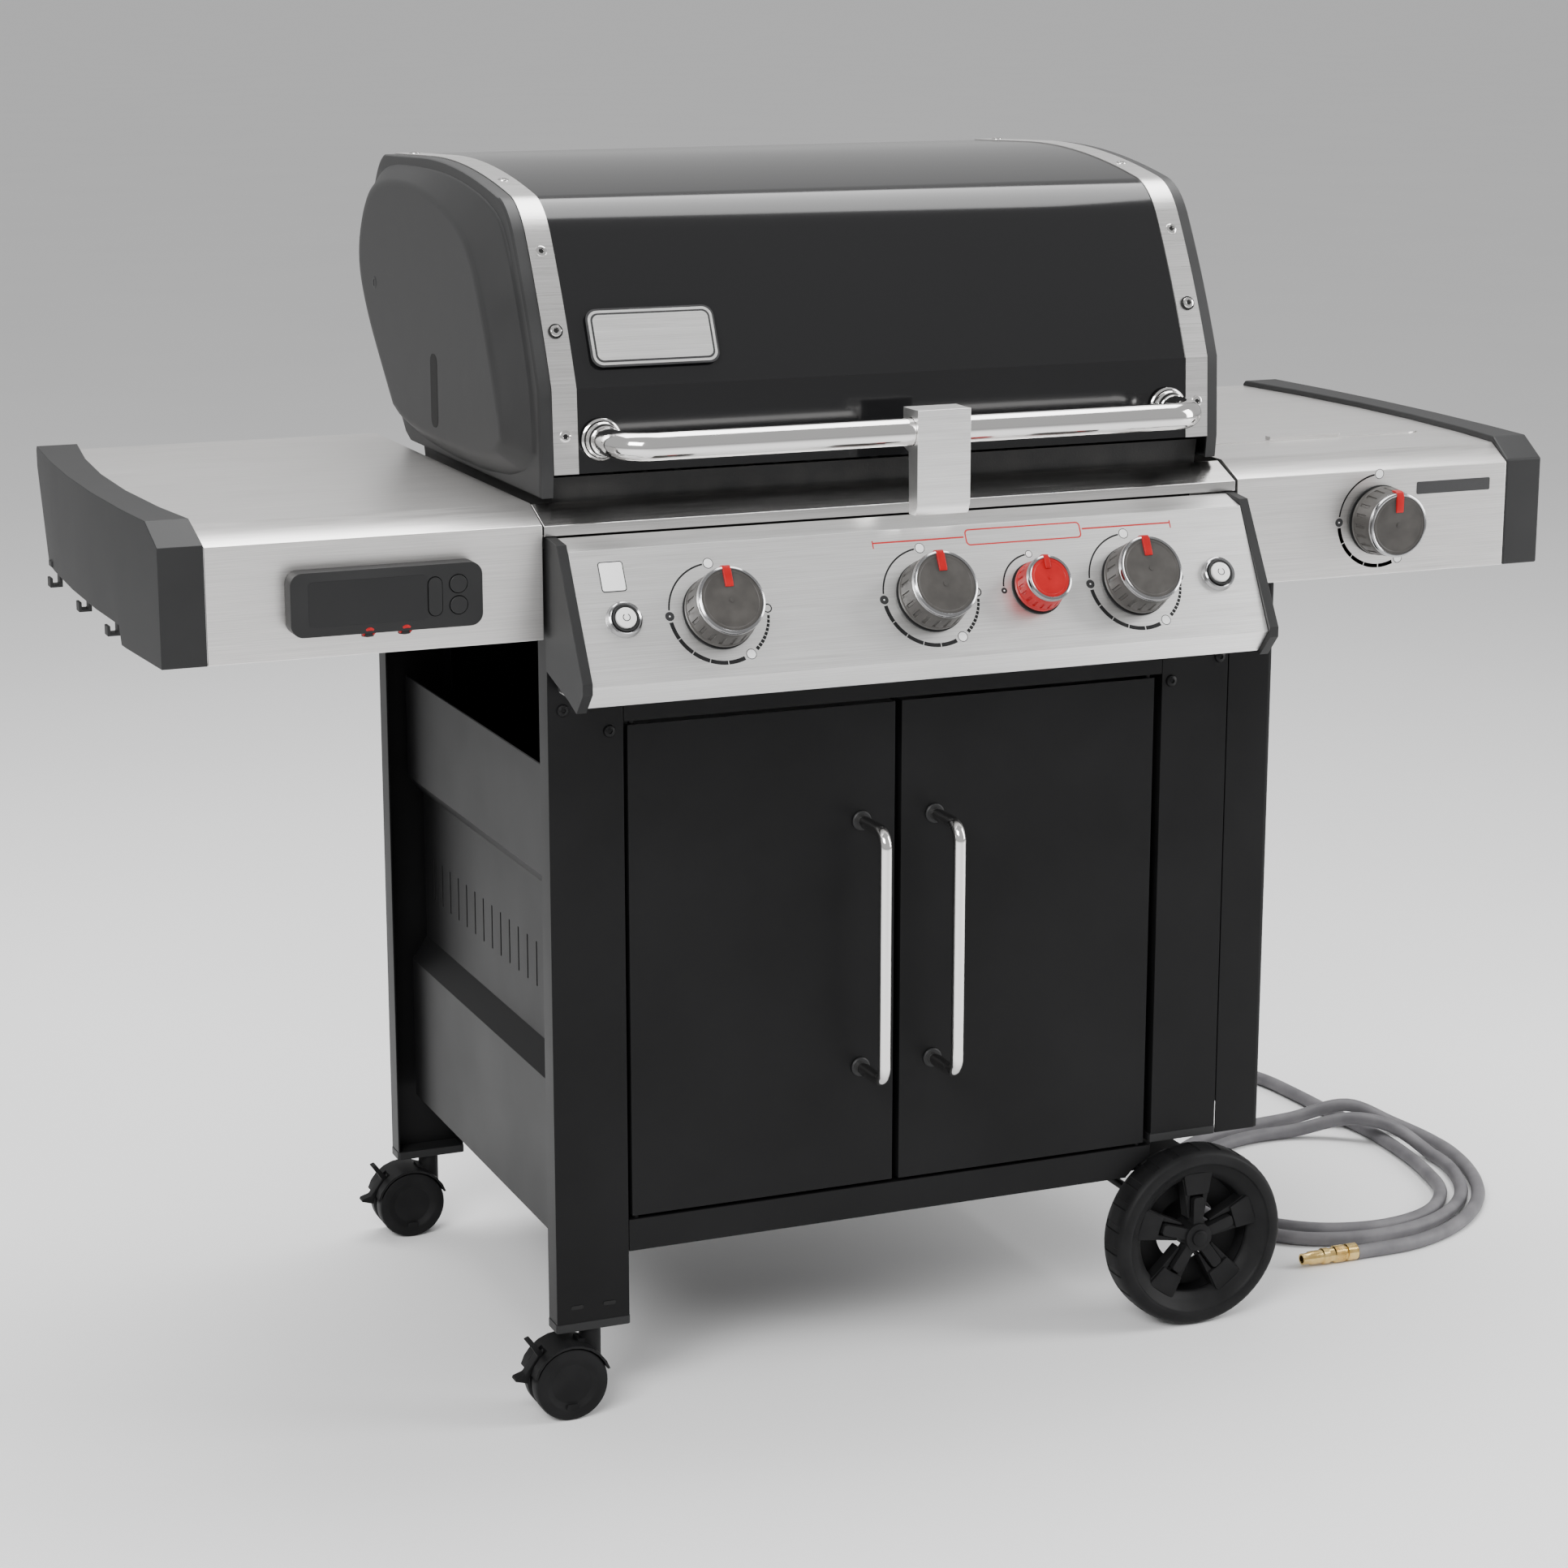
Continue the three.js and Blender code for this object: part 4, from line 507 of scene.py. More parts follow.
# ---- large wheels --------------------------------------------------------------------------
# Blow-moulded wheels on the right: a treaded rim, a dished face and five forked spokes round a
# capped hub.
for end, outwards in (("front", -1), ("rear", 1)):
    low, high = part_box(f"wheel_{end}")
    centre = (low + high) / 2 / mm
    r = (high.z - low.z) / 2 / mm
    w = (high.y - low.y) / mm
    face = low.y / mm if outwards < 0 else high.y / mm
    wheel_seat = seat((centre.x, face, centre.z), (0, outwards, 0)) @ Matrix.Translation((0, 0, -w * mm))
    rim = turned([(r - 21, 3), (r - 8, 1), (r - 3, 3), (r - 1, 7), (r - 0.2, 12), (r, 16), (r, w - 16),
                  (r - 0.2, w - 12), (r - 1, w - 7), (r - 3, w - 2.5), (r - 6, w - 0.6), (r - 12, w),
                  (r - 15, w - 1.2), (r - 17, w - 5), (r - 25, w - 9), (r - 33, w - 15), (r - 34, w - 19),
                  (r - 26, w - 22), (r - 21, 3)], 72)
    tread = [f for f in rim.faces if f.calc_center_median().xy.length > (r - 0.9) * mm]
    around = [f for f in tread if int(math.degrees(math.atan2(*f.calc_center_median().yx)) // 5) % 3 == 0]
    bmesh.ops.inset_region(rim, faces=around, thickness=1.0 * mm, depth=-1.0 * mm)
    wheel = bmesh.new()
    gather(wheel, rim, wheel_seat)
    gather(wheel, turned([(r - 33, w - 22), (r - 36, 9), (36, 8), (36, 5), (r - 30, 5), (r - 28, w - 22),
                          (r - 33, w - 22)], 56), wheel_seat)
    for k in range(5):
        spin = wheel_seat @ Matrix.Rotation(math.radians(72 * k + 90), 4, "Z")
        fork = slab([(r - 27, -19), (r - 25, -17), (r - 25, 17), (r - 27, 19), (50, 14.5), (20, 10), (20, 7.2),
                     (47, 7.2), (47, -7.2), (20, -7.2), (20, -10), (50, -14.5)], 15, 1.2)
        gather(wheel, fork, spin @ Matrix.Translation((0, 0, (w - 28) * mm)))
        paddle = slab([(46, -13), (r - 30, -17), (r - 27, -15), (r - 27, 15), (r - 30, 17), (46, 13)], 4, 1.4)
        gather(wheel, paddle, spin @ Matrix.Translation((0, 0, (w - 14) * mm)))
        arm = slab([(0, -6.2), (41, -6.2), (44, -4), (44, 4), (41, 6.2), (0, 6.2)], 14, 1.2)
        gather(wheel, arm, spin @ Matrix.Translation((0, 0, (w - 21) * mm)))
    hub = turned([(6, 8), (16, 8), (16, w - 12), (15, w - 5), (9, w - 4), (8.4, w - 2), (6, w - 0.8), (0, w - 0.4),
                  (0, w - 10), (6, w - 10), (6, 8)], 36)
    gather(wheel, hub, wheel_seat)
    fitted(f"spoked_wheel_{end}", wheel, f"wheel_{end}", [tyre_plastic], [f"wheel_{end}"], crease=40)


def painted(node, finish):
    """A framed piece that keeps its own shape and gets its finish."""
    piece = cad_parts[node]
    if not piece.material_slots:
        piece.data.materials.append(finish.material)
    for held in piece.material_slots:
        held.material = finish.material


painted("wheel_axle", powder_coat)

# ---- cookbox -------------------------------------------------------------------------------
# A cast aluminium box painted black, with porcelain-coated grates over stainless burners and
# folded heat tents, a wire warming rack, and a drip tray on runners underneath.
black_iron = Finish("black_iron", (0.012, 0.012, 0.012), 0.55, Specular_IOR_Level=0.4)
iron_cloud = black_iron.grain(40, 5)
black_iron.tint((0.008, 0.008, 0.008), (0.022, 0.021, 0.02), black_iron.band(iron_cloud, 0.35, 0.75))
black_iron.feed("Roughness", iron_cloud * 0.3 + 0.4)
black_iron.relief(black_iron.grain(500, 4), 0.00025, 0.7)

warm_steel = Finish("warm_steel", (0.42, 0.39, 0.35), 0.35, Metallic=1.0)
heat = warm_steel.grain(6, 4)
warm_steel.tint((0.3, 0.24, 0.18), (0.52, 0.5, 0.48), warm_steel.band(heat, 0.3, 0.62))
warm_steel.feed("Roughness", warm_steel.grain(40, 3, (1, 12, 12)) * 0.3 + 0.22)

fitted("cast_cookbox", eased("firebox", 1.0), "cart", [black_iron], ["firebox"])
fitted("barred_grate", eased("cooking_grate", 0.9), "cart", [black_iron], ["cooking_grate"])
for node in ("burner_set", "heat_tents", "warming_rack", "drip_tray"):
    painted(node, warm_steel)

# ---- control panel -------------------------------------------------------------------------
# A folded stainless fascia between two moulded cheeks, under a shelf strip with a rolled lip.
# The sheet is brushed from side to side.
def brushed(name, colour, roughness, along):
    steel = Finish(name, colour, roughness, Metallic=1.0)
    stretch = [1.2 if axis == along else 160 for axis in "xyz"]
    strokes = steel.grain(9, 6, stretch, 0.65)
    cloud = steel.grain(2.2, 3)
    dark = tuple(c * 0.8 for c in colour)
    light = tuple(min(c * 1.1, 1) for c in colour)
    steel.tint(dark, light, steel.band(strokes, 0.25, 0.75))
    steel.feed("Roughness", strokes * 0.22 + cloud * 0.06 + (roughness - 0.14))
    steel.relief(strokes, 0.00005, 0.7)
    return steel


brushed_steel = brushed("brushed_steel", (0.93, 0.915, 0.9), 0.36, "x")
shelf_steel = brushed("shelf_steel", (0.6, 0.59, 0.58), 0.2, "x")

fitted("folded_fascia", eased("control_panel", 0.5), "cart", [brushed_steel], ["control_panel"])
fitted("moulded_cheeks", eased("control_box", 3, 3), "cart", [moulded_grey], ["control_box"])
fitted("rolled_shelf", eased("front_shelf", 0.8), "cart", [shelf_steel], ["front_shelf"])

panel_out = Vector((0, -0.87843, 0.47787))
panel_up = Vector((0, 0.47787, 0.87843))
panel_top = Vector((0, -282.5, 883.6))


def on_panel(x, down, lift=0):
    """The seat at a place on the fascia: across it, down it from its top edge, and off it."""
    return seat(Vector((x, 0, 0)) + panel_top - panel_up * down + panel_out * lift, panel_out, panel_up)


black_print = Finish("black_print", (0.015, 0.015, 0.016), 0.5)
black_print.feed("Roughness", black_print.grain(300) * 0.2 + 0.4)
red_print = Finish("red_print", (0.42, 0.004, 0.006), 0.45)
red_print.feed("Roughness", red_print.grain(300) * 0.2 + 0.35)
white_print = Finish("white_print", (0.82, 0.82, 0.82), 0.45)
white_print.feed("Roughness", white_print.grain(300) * 0.2 + 0.35)


def arc_mark(radius, width, start, end, thickness=0.12):
    """A printed arc about the Z axis, from one angle to another in degrees."""
    steps = max(2, int(abs(end - start) / 4))
    inner, outer = radius - width / 2, radius + width / 2
    angles = [math.radians(start + (end - start) * k / steps) for k in range(steps + 1)]
    outline = [(outer * math.cos(a), outer * math.sin(a)) for a in angles]
    outline += [(inner * math.cos(a), inner * math.sin(a)) for a in reversed(angles)]
    part = bmesh.new()
    pairs = [(part.verts.new((outer * mm * math.cos(a), outer * mm * math.sin(a), 0)),
              part.verts.new((inner * mm * math.cos(a), inner * mm * math.sin(a), 0))) for a in angles]
    for (a, b), (c, d) in zip(pairs, pairs[1:]):
        part.faces.new((a, b, d, c))
    bmesh.ops.solidify(part, geom=part.faces[:], thickness=thickness * mm)
    bmesh.ops.recalc_face_normals(part, faces=part.faces)
    return part


def dial_marks(marks, place, radius, small=False):
    """The printed dial: an open ring at off, a thin arc to light, and a graded arc to low."""
    def spot(angle):
        a = math.radians(angle)
        return place @ Matrix.Translation((radius * mm * math.cos(a), radius * mm * math.sin(a), 0))

    size = 3.6 if small else 5
    gather(marks, slab(rounded(2 * size - 1, 2 * size - 1, size - 0.6), 0.1), spot(92), 2)
    gather(marks, arc_mark(size - 0.4, 1.3, 0, 360), spot(92), 0)
    gather(marks, arc_mark(radius, 1.7, 92 + 7, 180 - 7), place, 0)
    gather(marks, slab(rounded(2 * size - 1, 2 * size - 1, size - 0.6), 0.12), spot(180), 0)
    gather(marks, slab(rounded(1.6, 1.6, 0.78), 0.16), spot(180), 2)
    if small:
        return
    for k in range(5):
        gather(marks, arc_mark(radius, 4, 187 + k * 21, 187 + k * 21 + 20), place, 0)
    gather(marks, slab(rounded(2 * size - 1, 2 * size - 1, size - 0.6), 0.1), spot(300), 2)
    gather(marks, arc_mark(size - 0.4, 1.3, 0, 360), spot(300), 0)
    gather(marks, arc_mark((size - 1) / 2, size - 1, 90, 270), spot(300), 0)
    for k in range(9):
        gather(marks, arc_mark(radius, 3.6 - k * 0.12, 309 + k * 5, 309 + k * 5 + 4), place, 0)
    gather(marks, arc_mark(size - 1, 1.3, 0, 360), spot(1), 0)


main_knobs = {"left": (36.5, 49.5), "middle": (36.5, 49.5), "sear": (27, 35.5), "right": (36.5, 49.5)}
panel_marks = bmesh.new()
for name, (base, dial) in main_knobs.items():
    low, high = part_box(f"knob_{name}")
    dial_marks(panel_marks, on_panel((low.x + high.x) / 2 / mm, 70, 0.02), dial, name == "sear")

# The red bracket over the right-hand burners, with an empty label, and an empty badge plate.
for left, right in ((-50, 47), (176, 274)):
    gather(panel_marks, slab([(left, -0.8), (right, -0.8), (right, 0.8), (left, 0.8)], 0.12), on_panel(0, 12.5, 0.02), 1)
for x in (-50, 274):
    gather(panel_marks, slab([(x - 0.6, -4), (x + 0.6, -4), (x + 0.6, 4), (x - 0.6, 4)], 0.12), on_panel(0, 14, 0.02), 1)
label = bmesh.new()
outer, inner = rounded(126, 17, 4.5), rounded(123, 14, 3.2)
for outline in (outer, inner):
    ring = [label.verts.new((x * mm, y * mm, 0)) for x, y in outline]
    for a, b in zip(ring, ring[1:] + ring[:1]):
        label.edges.new((a, b))
bmesh.ops.bridge_loops(label, edges=label.edges[:])
bmesh.ops.solidify(label, geom=label.faces[:], thickness=0.12 * mm)
bmesh.ops.recalc_face_normals(label, faces=label.faces)
gather(panel_marks, label, on_panel(111.5, 13.2, 0.02), 1)
gather(panel_marks, slab(rounded(25, 30, 3), 0.25), on_panel(-319, 27, 0.02), 0)
gather(panel_marks, slab(rounded(23, 28, 2.2), 0.34), on_panel(-319, 27, 0.02), 2)
fitted("panel_marks", panel_marks, "cart", [black_print, red_print, white_print], crease=60)

# ---- knobs ---------------------------------------------------------------------------------
# Moulded knobs with a notched skirt, a bright ring let in round the face, and a red pointer that
# wraps over the rim. The small one for the sear burner is red all over.
dark_chrome = Finish("dark_chrome", (0.34, 0.34, 0.345), 0.1, Metallic=1.0)
dark_chrome.feed("Roughness", dark_chrome.grain(70, 4) * 0.12 + 0.07)
knob_plastic = Finish("knob_plastic", (0.045, 0.042, 0.039), 0.42, Specular_IOR_Level=0.3)
knob_cloud = knob_plastic.grain(60, 4)
knob_plastic.tint((0.036, 0.0335, 0.031), (0.052, 0.0485, 0.045), knob_plastic.band(knob_cloud, 0.3, 0.7))
knob_plastic.feed("Roughness", knob_cloud * 0.15 + 0.34)
knob_plastic.relief(knob_plastic.grain(1800, 2), 0.00005, 0.6)
red_plastic = Finish("red_plastic", (0.34, 0.003, 0.005), 0.35, Specular_IOR_Level=0.25)
red_cloud = red_plastic.grain(60, 4)
red_plastic.tint((0.29, 0.002, 0.004), (0.38, 0.004, 0.006), red_plastic.band(red_cloud, 0.3, 0.7))
red_plastic.feed("Roughness", red_cloud * 0.15 + 0.28)
red_plastic.relief(red_plastic.grain(1800, 2), 0.00005, 0.5)


def knob(name, place, k, height, skin):
    """One knob, its sizes scaled by k, standing on its seat."""
    r, h = 36.5 * k, height
    body = turned([(5.6, 21), (5.6, 9), (11, 9), (11, h - 7), (r - 8, h - 7), (r - 3.2, 5), (r - 1.6, 4.7),
                   (r - 0.6, 5.2), (r - 0.6, 8.5), (r - 1.2, 9.3), (r - 1.4, 10.5), (r - 2.4, h - 13),
                   (r - 3.1, h - 7), (r - 3.6, h - 6.4), (r - 3.9, h - 6), (r - 4.2, h - 2.6)], 60)
    notch = [f for f in body.faces if 10.6 < f.calc_center_median().z / mm < h - 13.2
             and f.calc_center_median().xy.length > (r - 2.6) * mm]
    notch = [f for f in notch if int((math.degrees(math.atan2(*f.calc_center_median().yx)) + 360) // 6) % 3 == 0]
    bmesh.ops.inset_individual(body, faces=notch, thickness=0.9 * mm, depth=-1.1 * mm)
    made = bmesh.new()
    gather(made, body, place, 0)
    gather(made, turned([(r - 3.8, h - 6), (r - 2.9, h - 5.6), (r - 2.8, h - 3.4), (r - 3.6, h - 1.4),
                         (r - 5.2, h - 0.7), (r - 6.2, h - 1.0), (r - 6.4, h - 2)], 72), place, 1)
    gather(made, turned([(r - 6.1, h - 3), (r - 6.3, h - 1.7), (r - 7.4, h - 1.4), (r - 9, h - 1.5),
                         (r - 9.6, h - 1.9), (0, h - 1.7)], 60), place, 0)
    gather(made, turned([(0, h - 4), (r - 3.8, h - 4)], 60), place, 0)
    pointer = slab([(13 * k, h - 2), (13 * k, h - 0.6), (16 * k, h + 0.1), (r - 7, h + 0.2), (r - 2.6, h - 1.2),
                    (r - 1.2, h - 5), (r - 1.2, h - 11), (r - 4, h - 11), (r - 5, h - 3)], 8.4 * k, 1.2, 3)
    stand = Matrix(((0, 0, 1, -4.2 * k * mm), (1, 0, 0, 0), (0, 1, 0, 0), (0, 0, 0, 1)))
    gather(made, pointer, place @ stand, 2)
    gather(made, turned([(0, h - 1.8), (2.4 * k, h - 1.8), (2.4 * k, h - 1.3), (0, h - 1.2)], 24), place, 0)
    return fitted(f"dial_{name}", made, f"knob_{name}", [skin, dark_chrome, red_plastic],
                  [f"knob_{name}"], crease=34)


for name, (base, dial) in main_knobs.items():
    low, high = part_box(f"knob_{name}")
    where = on_panel((low.x + high.x) / 2 / mm, 70)
    if name == "sear":
        knob(name, where, 0.72, 33.5, red_plastic)
    else:
        knob(name, where, 1, 39.8, knob_plastic)
    painted(f"valve_stem_{name}", machined_brass)
painted("valve_stem_side", machined_brass)
side_low, side_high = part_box("knob_side")
side_place = seat(((side_low.x + side_high.x) / 2 / mm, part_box("right_table")[0].y / mm,
                   (side_low.z + side_high.z) / 2 / mm), (0, -1, 0))
knob("side", side_place, 1, 39.8, knob_plastic)
side_marks = bmesh.new()
dial_marks(side_marks, side_place @ Matrix.Translation((0, 0, 0.02 * mm)), 48)
fitted("side_marks", side_marks, "cart", [black_print, red_print, white_print], crease=60)

# Bezels: a black ring on the panel under each knob, and turned steel cups round the two buttons.
bezels = bmesh.new()
for name, (base, dial) in main_knobs.items():
    low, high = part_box(f"knob_{name}")
    gather(bezels, turned([(7, 0.1), (base - 1, 0.1), (base, 0.3), (base, 1), (base - 0.8, 1.4), (base - 5, 1.4),
                           (base - 6, 0.8), (7, 0.8), (7, 0.1)], 56),
           on_panel((low.x + high.x) / 2 / mm, 70), 1)
gather(bezels, turned([(7, 0.1), (35.5, 0.1), (36.5, 0.3), (36.5, 1), (35.7, 1.4), (31.5, 1.4), (30.5, 0.8),
                       (7, 0.8), (7, 0.1)], 56), side_place.copy(), 1)
for node in ("igniter_button", "light_button"):
    low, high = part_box(node)
    there = on_panel((low.x + high.x) / 2 / mm, 70)
    gather(bezels, turned([(11, 0.1), (17.6, 0.1), (17.9, 1.2), (16.4, 5.4), (15.2, 6.2), (13.8, 5.6), (13.4, 3),
                           (11, 3), (11, 0.1)], 48), there.copy(), 2)
    gather(bezels, turned([(10.9, 3), (13.3, 3), (13.3, 6.4), (12.6, 7), (11.4, 6.8), (10.9, 6.2), (10.9, 3)], 40), there, 1)
fitted("bezels", bezels, "cart", [polished, moulded_grey, dark_chrome])

white_gloss = Finish("white_gloss", (0.78, 0.78, 0.77), 0.22)
white_gloss.feed("Roughness", white_gloss.grain(90) * 0.15 + 0.15)
for node in ("igniter_button", "light_button"):
    low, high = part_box(node)
    button = bmesh.new()
    there = on_panel((low.x + high.x) / 2 / mm, 70)
    gather(button, turned([(0, -14), (10.2, -14), (10.2, 7), (9.8, 8), (8.6, 8.6), (0, 8.2)], 40), there.copy(), 0)
    gather(button, arc_mark(3.4, 0.9, 120, 420, 0.25), there @ Matrix.Translation((0, 0, 8.45 * mm)), 1)
    fitted(f"push_{node}", button, node, [white_gloss, black_print], [node])

# ---- side tables ---------------------------------------------------------------------------
# Folded stainless tops whose fronts turn down over a slope, each closed by a moulded end cap.
table_steel = brushed("table_steel", (0.8, 0.785, 0.77), 0.34, "x")
fitted("folded_left_table", eased("left_table", 0.9), "cart", [table_steel], ["left_table"])
fitted("folded_right_table", eased("right_table", 0.9), "cart", [table_steel], ["right_table"])
for side in ("left", "right"):
    cap = eased(f"{side}_end_cap", 2.4, 3)
    fitted(f"moulded_{side}_cap", cap, "cart", [moulded_grey], [f"{side}_end_cap"])

strip = bmesh.new()
gather(strip, slab(rounded(89, 13, 1.5), 0.8, 0.2), seat((629.5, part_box("right_table")[0].y / mm + 0.2, 883.5), (0, -1, 0)))
fitted("blank_strip", strip, "cart", [black_print])

# ---- display housing -----------------------------------------------------------------------
# A moulded box on the left table's front: a dark window, a rocker key and two round keys, and
# two probe sockets ringed in red in its lower edge.
fitted("moulded_housing", eased("display_housing", 2.2, 3), "cart", [moulded_grey], ["display_housing"])
for node in ("rocker_key", "upper_key", "lower_key"):
    fitted(f"moulded_{node}", eased(node, 0.7), node, [moulded_grey], [node])
dark_window = Finish("dark_window", (0.0125, 0.0126, 0.013), 0.36, Specular_IOR_Level=0.26)
dark_window.feed("Roughness", dark_window.grain(24, 4) * 0.15 + 0.26)
housing_low, housing_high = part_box("display_housing")
window = bmesh.new()
gather(window, slab(rounded(112, 42, 4), 0.35, 0.1),
       seat((-548, housing_low.y / mm + 0.1, 849), (0, -1, 0)))
fitted("display_window", window, "cart", [dark_window])
rings = bmesh.new()
for x in (-547, -512):
    hoop = turned([(3.6, -1.4), (5.6, -1.6), (6.8, -0.4), (6.8, 1), (5.4, 2.1), (4, 1.8), (3.6, 0.6), (3.6, -1.4)], 28)
    gather(rings, hoop, seat((x, housing_low.y / mm + 4.5, 819.5), (0, -0.72, -0.7)))
fitted("socket_rings", rings, "cart", [red_plastic])

# ---- side burner ---------------------------------------------------------------------------
# A cast pan with a burner head hung in the right table, under a flush stainless cover with a
# finger pull along its front edge.
fitted("cast_side_burner", eased("side_burner", 0.8), "cart", [black_iron], ["side_burner"])
fitted("flush_cover", eased("side_burner_lid", 0.7), "side_burner_lid", [table_steel], ["side_burner_lid"])

# ---- lid -----------------------------------------------------------------------------------
# One sheet of steel rolled over the cookbox and enamelled gloss black, with a bright trim band
# bolted along each side and a cast end at each side in dark grey.
enamel = Finish("gloss_enamel", (0.006, 0.006, 0.0065), 0.1, Coat_Weight=0.25, Coat_Roughness=0.06, Specular_IOR_Level=0.35)
flow = enamel.grain(3.5, 3)
enamel.feed("Roughness", flow * 0.08 + 0.1)
enamel.relief(enamel.grain(110, 2), 0.00003, 0.25)
cast_grey = Finish("cast_grey", (0.03, 0.031, 0.033), 0.5, Specular_IOR_Level=0.4)
cast_cloud = cast_grey.grain(12, 4)
cast_grey.tint((0.014, 0.0141, 0.0144), (0.021, 0.0212, 0.0216), cast_grey.band(cast_cloud, 0.3, 0.7))
cast_grey.feed("Roughness", cast_cloud * 0.18 + 0.38)
cast_grey.relief(cast_grey.grain(1100, 3), 0.00009, 0.7)
trim_steel = brushed("trim_steel", (0.74, 0.73, 0.72), 0.3, "x")


def bend(a, b, c, steps):
    """Points along a bend that leaves a towards b and arrives at c from b."""
    return [Vector(a) * (1 - t) ** 2 + Vector(b) * 2 * t * (1 - t) + Vector(c) * t * t
            for t in (k / steps for k in range(1, steps + 1))]


lid_line = [Vector((-223.5, 947)), Vector((-219.5, 1027))]
lid_line += bend((-219.5, 1027), (-190, 1100), (-149.5, 1167), 10)
lid_line += bend((-149.5, 1167), (-132, 1194), (-105.5, 1200), 10)
lid_line += bend((-105.5, 1200), (20, 1226), (137.5, 1223), 12)
lid_line += [Vector((278.5, 1218))]
lid_line += bend((278.5, 1218), (300, 1212), (318, 1183), 8)
lid_line += bend((318, 1183), (354, 1146), (351, 1110), 8)
lid_line += bend((351, 1110), (345, 1082), (330, 1062), 5)


def rolled(line, left, right, thickness, lift=0):
    """A sheet rolled along a line of (y, z) and as wide as left to right, all in millimetres."""
    part = bmesh.new()
    run = [part.verts.new((left * mm, p.x * mm, p.y * mm)) for p in line]
    edges = [part.edges.new(pair) for pair in zip(run, run[1:])]
    swept = bmesh.ops.extrude_edge_only(part, edges=edges)
    far = [v for v in swept["geom"] if isinstance(v, bmesh.types.BMVert)]
    bmesh.ops.translate(part, verts=far, vec=((right - left) * mm, 0, 0))
    bmesh.ops.recalc_face_normals(part, faces=part.faces)
    part.normal_update()
    if min(part.faces, key=lambda f: f.calc_center_median().y).normal.y > 0:
        bmesh.ops.reverse_faces(part, faces=part.faces)
        part.normal_update()
    if lift:
        shifts = {v: v.normal * lift * mm for v in part.verts}
        for v, shift in shifts.items():
            v.co += shift
    bmesh.ops.solidify(part, geom=part.faces[:], thickness=thickness * mm)
    bmesh.ops.recalc_face_normals(part, faces=part.faces)
    return part


hood = bmesh.new()
gather(hood, rolled(lid_line, -350, 350, 2))
fitted("rolled_lid", hood, "lid", [enamel], ["lid_skin"], crease=12)
trims = bmesh.new()
for left, right in ((-350.2, -325.5), (325.5, 350.2)):
    gather(trims, rolled(lid_line, left, right, 0.9, 1.0))
fitted("trim_bands", trims, "lid", [trim_steel], crease=12)

# Each bolt has a near-black ring round its foot and a near-black floor in its socket: painted shade where the head
# meets the band and inside the socket.
trim_bolts = bmesh.new()
for y, z, ny, nz in ((-222, 983, -1, 0.05), (-199, 1080, -0.92, 0.4), (-159, 1151, -0.86, 0.5),
                     (-48, 1210.2, -0.1, 1), (98, 1221.8, 0, 1), (248, 1219.6, 0.04, 1)):
    for x in (-338, 338):
        gather(trim_bolts, turned([(0, -1), (6, -1), (6, 0.6), (5.2, 1.9), (3.8, 2.4), (2.8, 2.2), (2.6, 0.9), (0, 0.9)], 20),
               seat((x, y, z), (0, ny, nz), (0, 0.3, 0.9) if nz < 0.9 else (0, 1, 0)))
        gather(trim_bolts, turned([(6, -0.6), (7.1, -0.6), (7.1, 0.4), (6, 0.4), (6, -0.6)], 20),
               seat((x, y, z), (0, ny, nz), (0, 0.3, 0.9) if nz < 0.9 else (0, 1, 0)), 1)
        gather(trim_bolts, turned([(0, 0.4), (2.6, 0.4), (2.6, 1.1), (0, 1.1)], 6),
               seat((x, y, z), (0, ny, nz), (0, 0.3, 0.9) if nz < 0.9 else (0, 1, 0)), 1)
fitted("trim_bolts", trim_bolts, "lid", [polished, painted_gap_shade])

lid_rim = [Vector((-221, 925)), *lid_line, Vector((322, 1049)), Vector((304, 1027)), Vector((276, 1004)),
           Vector((255, 988)), Vector((246, 970)), Vector((236, 946)), Vector((222, 932)), Vector((205, 925))]
lid_heart = Vector((60, 1060))


def softened(points, times):
    """A closed outline with its corners cut again and again until it runs smoothly."""
    for _ in range(times):
        pairs = list(zip(points, points[1:] + points[:1]))
        points = [spot for a, b in pairs for spot in (a.lerp(b, 0.25), a.lerp(b, 0.75))]
    return points


def seen_from(heart, spot, outline):
    """Where the line from the heart through a spot crosses a closed outline."""
    way = (spot - heart).normalized()
    crossings = []
    for a, b in zip(outline, outline[1:] + outline[:1]):
        span = b - a
        turn = way.x * span.y - way.y * span.x
        if abs(turn) > 1e-9:
            along = ((a - heart).x * span.y - (a - heart).y * span.x) / turn
            share = ((a - heart).x * way.y - (a - heart).y * way.x) / turn
            if along > 0 and -1e-6 <= share <= 1 + 1e-6:
                crossings.append(along)
    return heart + way * max(crossings)


close_rim = []
for a, b in zip(lid_rim, lid_rim[1:] + lid_rim[:1]):
    parts = max(1, int((b - a).length // 14))
    close_rim += [a.lerp(b, k / parts) for k in range(parts)]
shoulder = softened([Vector(p) for p in ((-213, 930), (-210, 1027), (-143, 1160), (-100, 1191), (20, 1211),
                                         (137, 1214), (274, 1209), (310, 1178), (341, 1112), (300, 1036),
                                         (236, 985), (200, 930))], 2)
plateau = softened([Vector(p) for p in ((-172, 948), (-148, 1010), (-104, 1096), (-66, 1150), (0, 1180), (120, 1198),
                                        (236, 1193), (292, 1172), (330, 1112), (300, 1054), (230, 986), (190, 948))], 3)

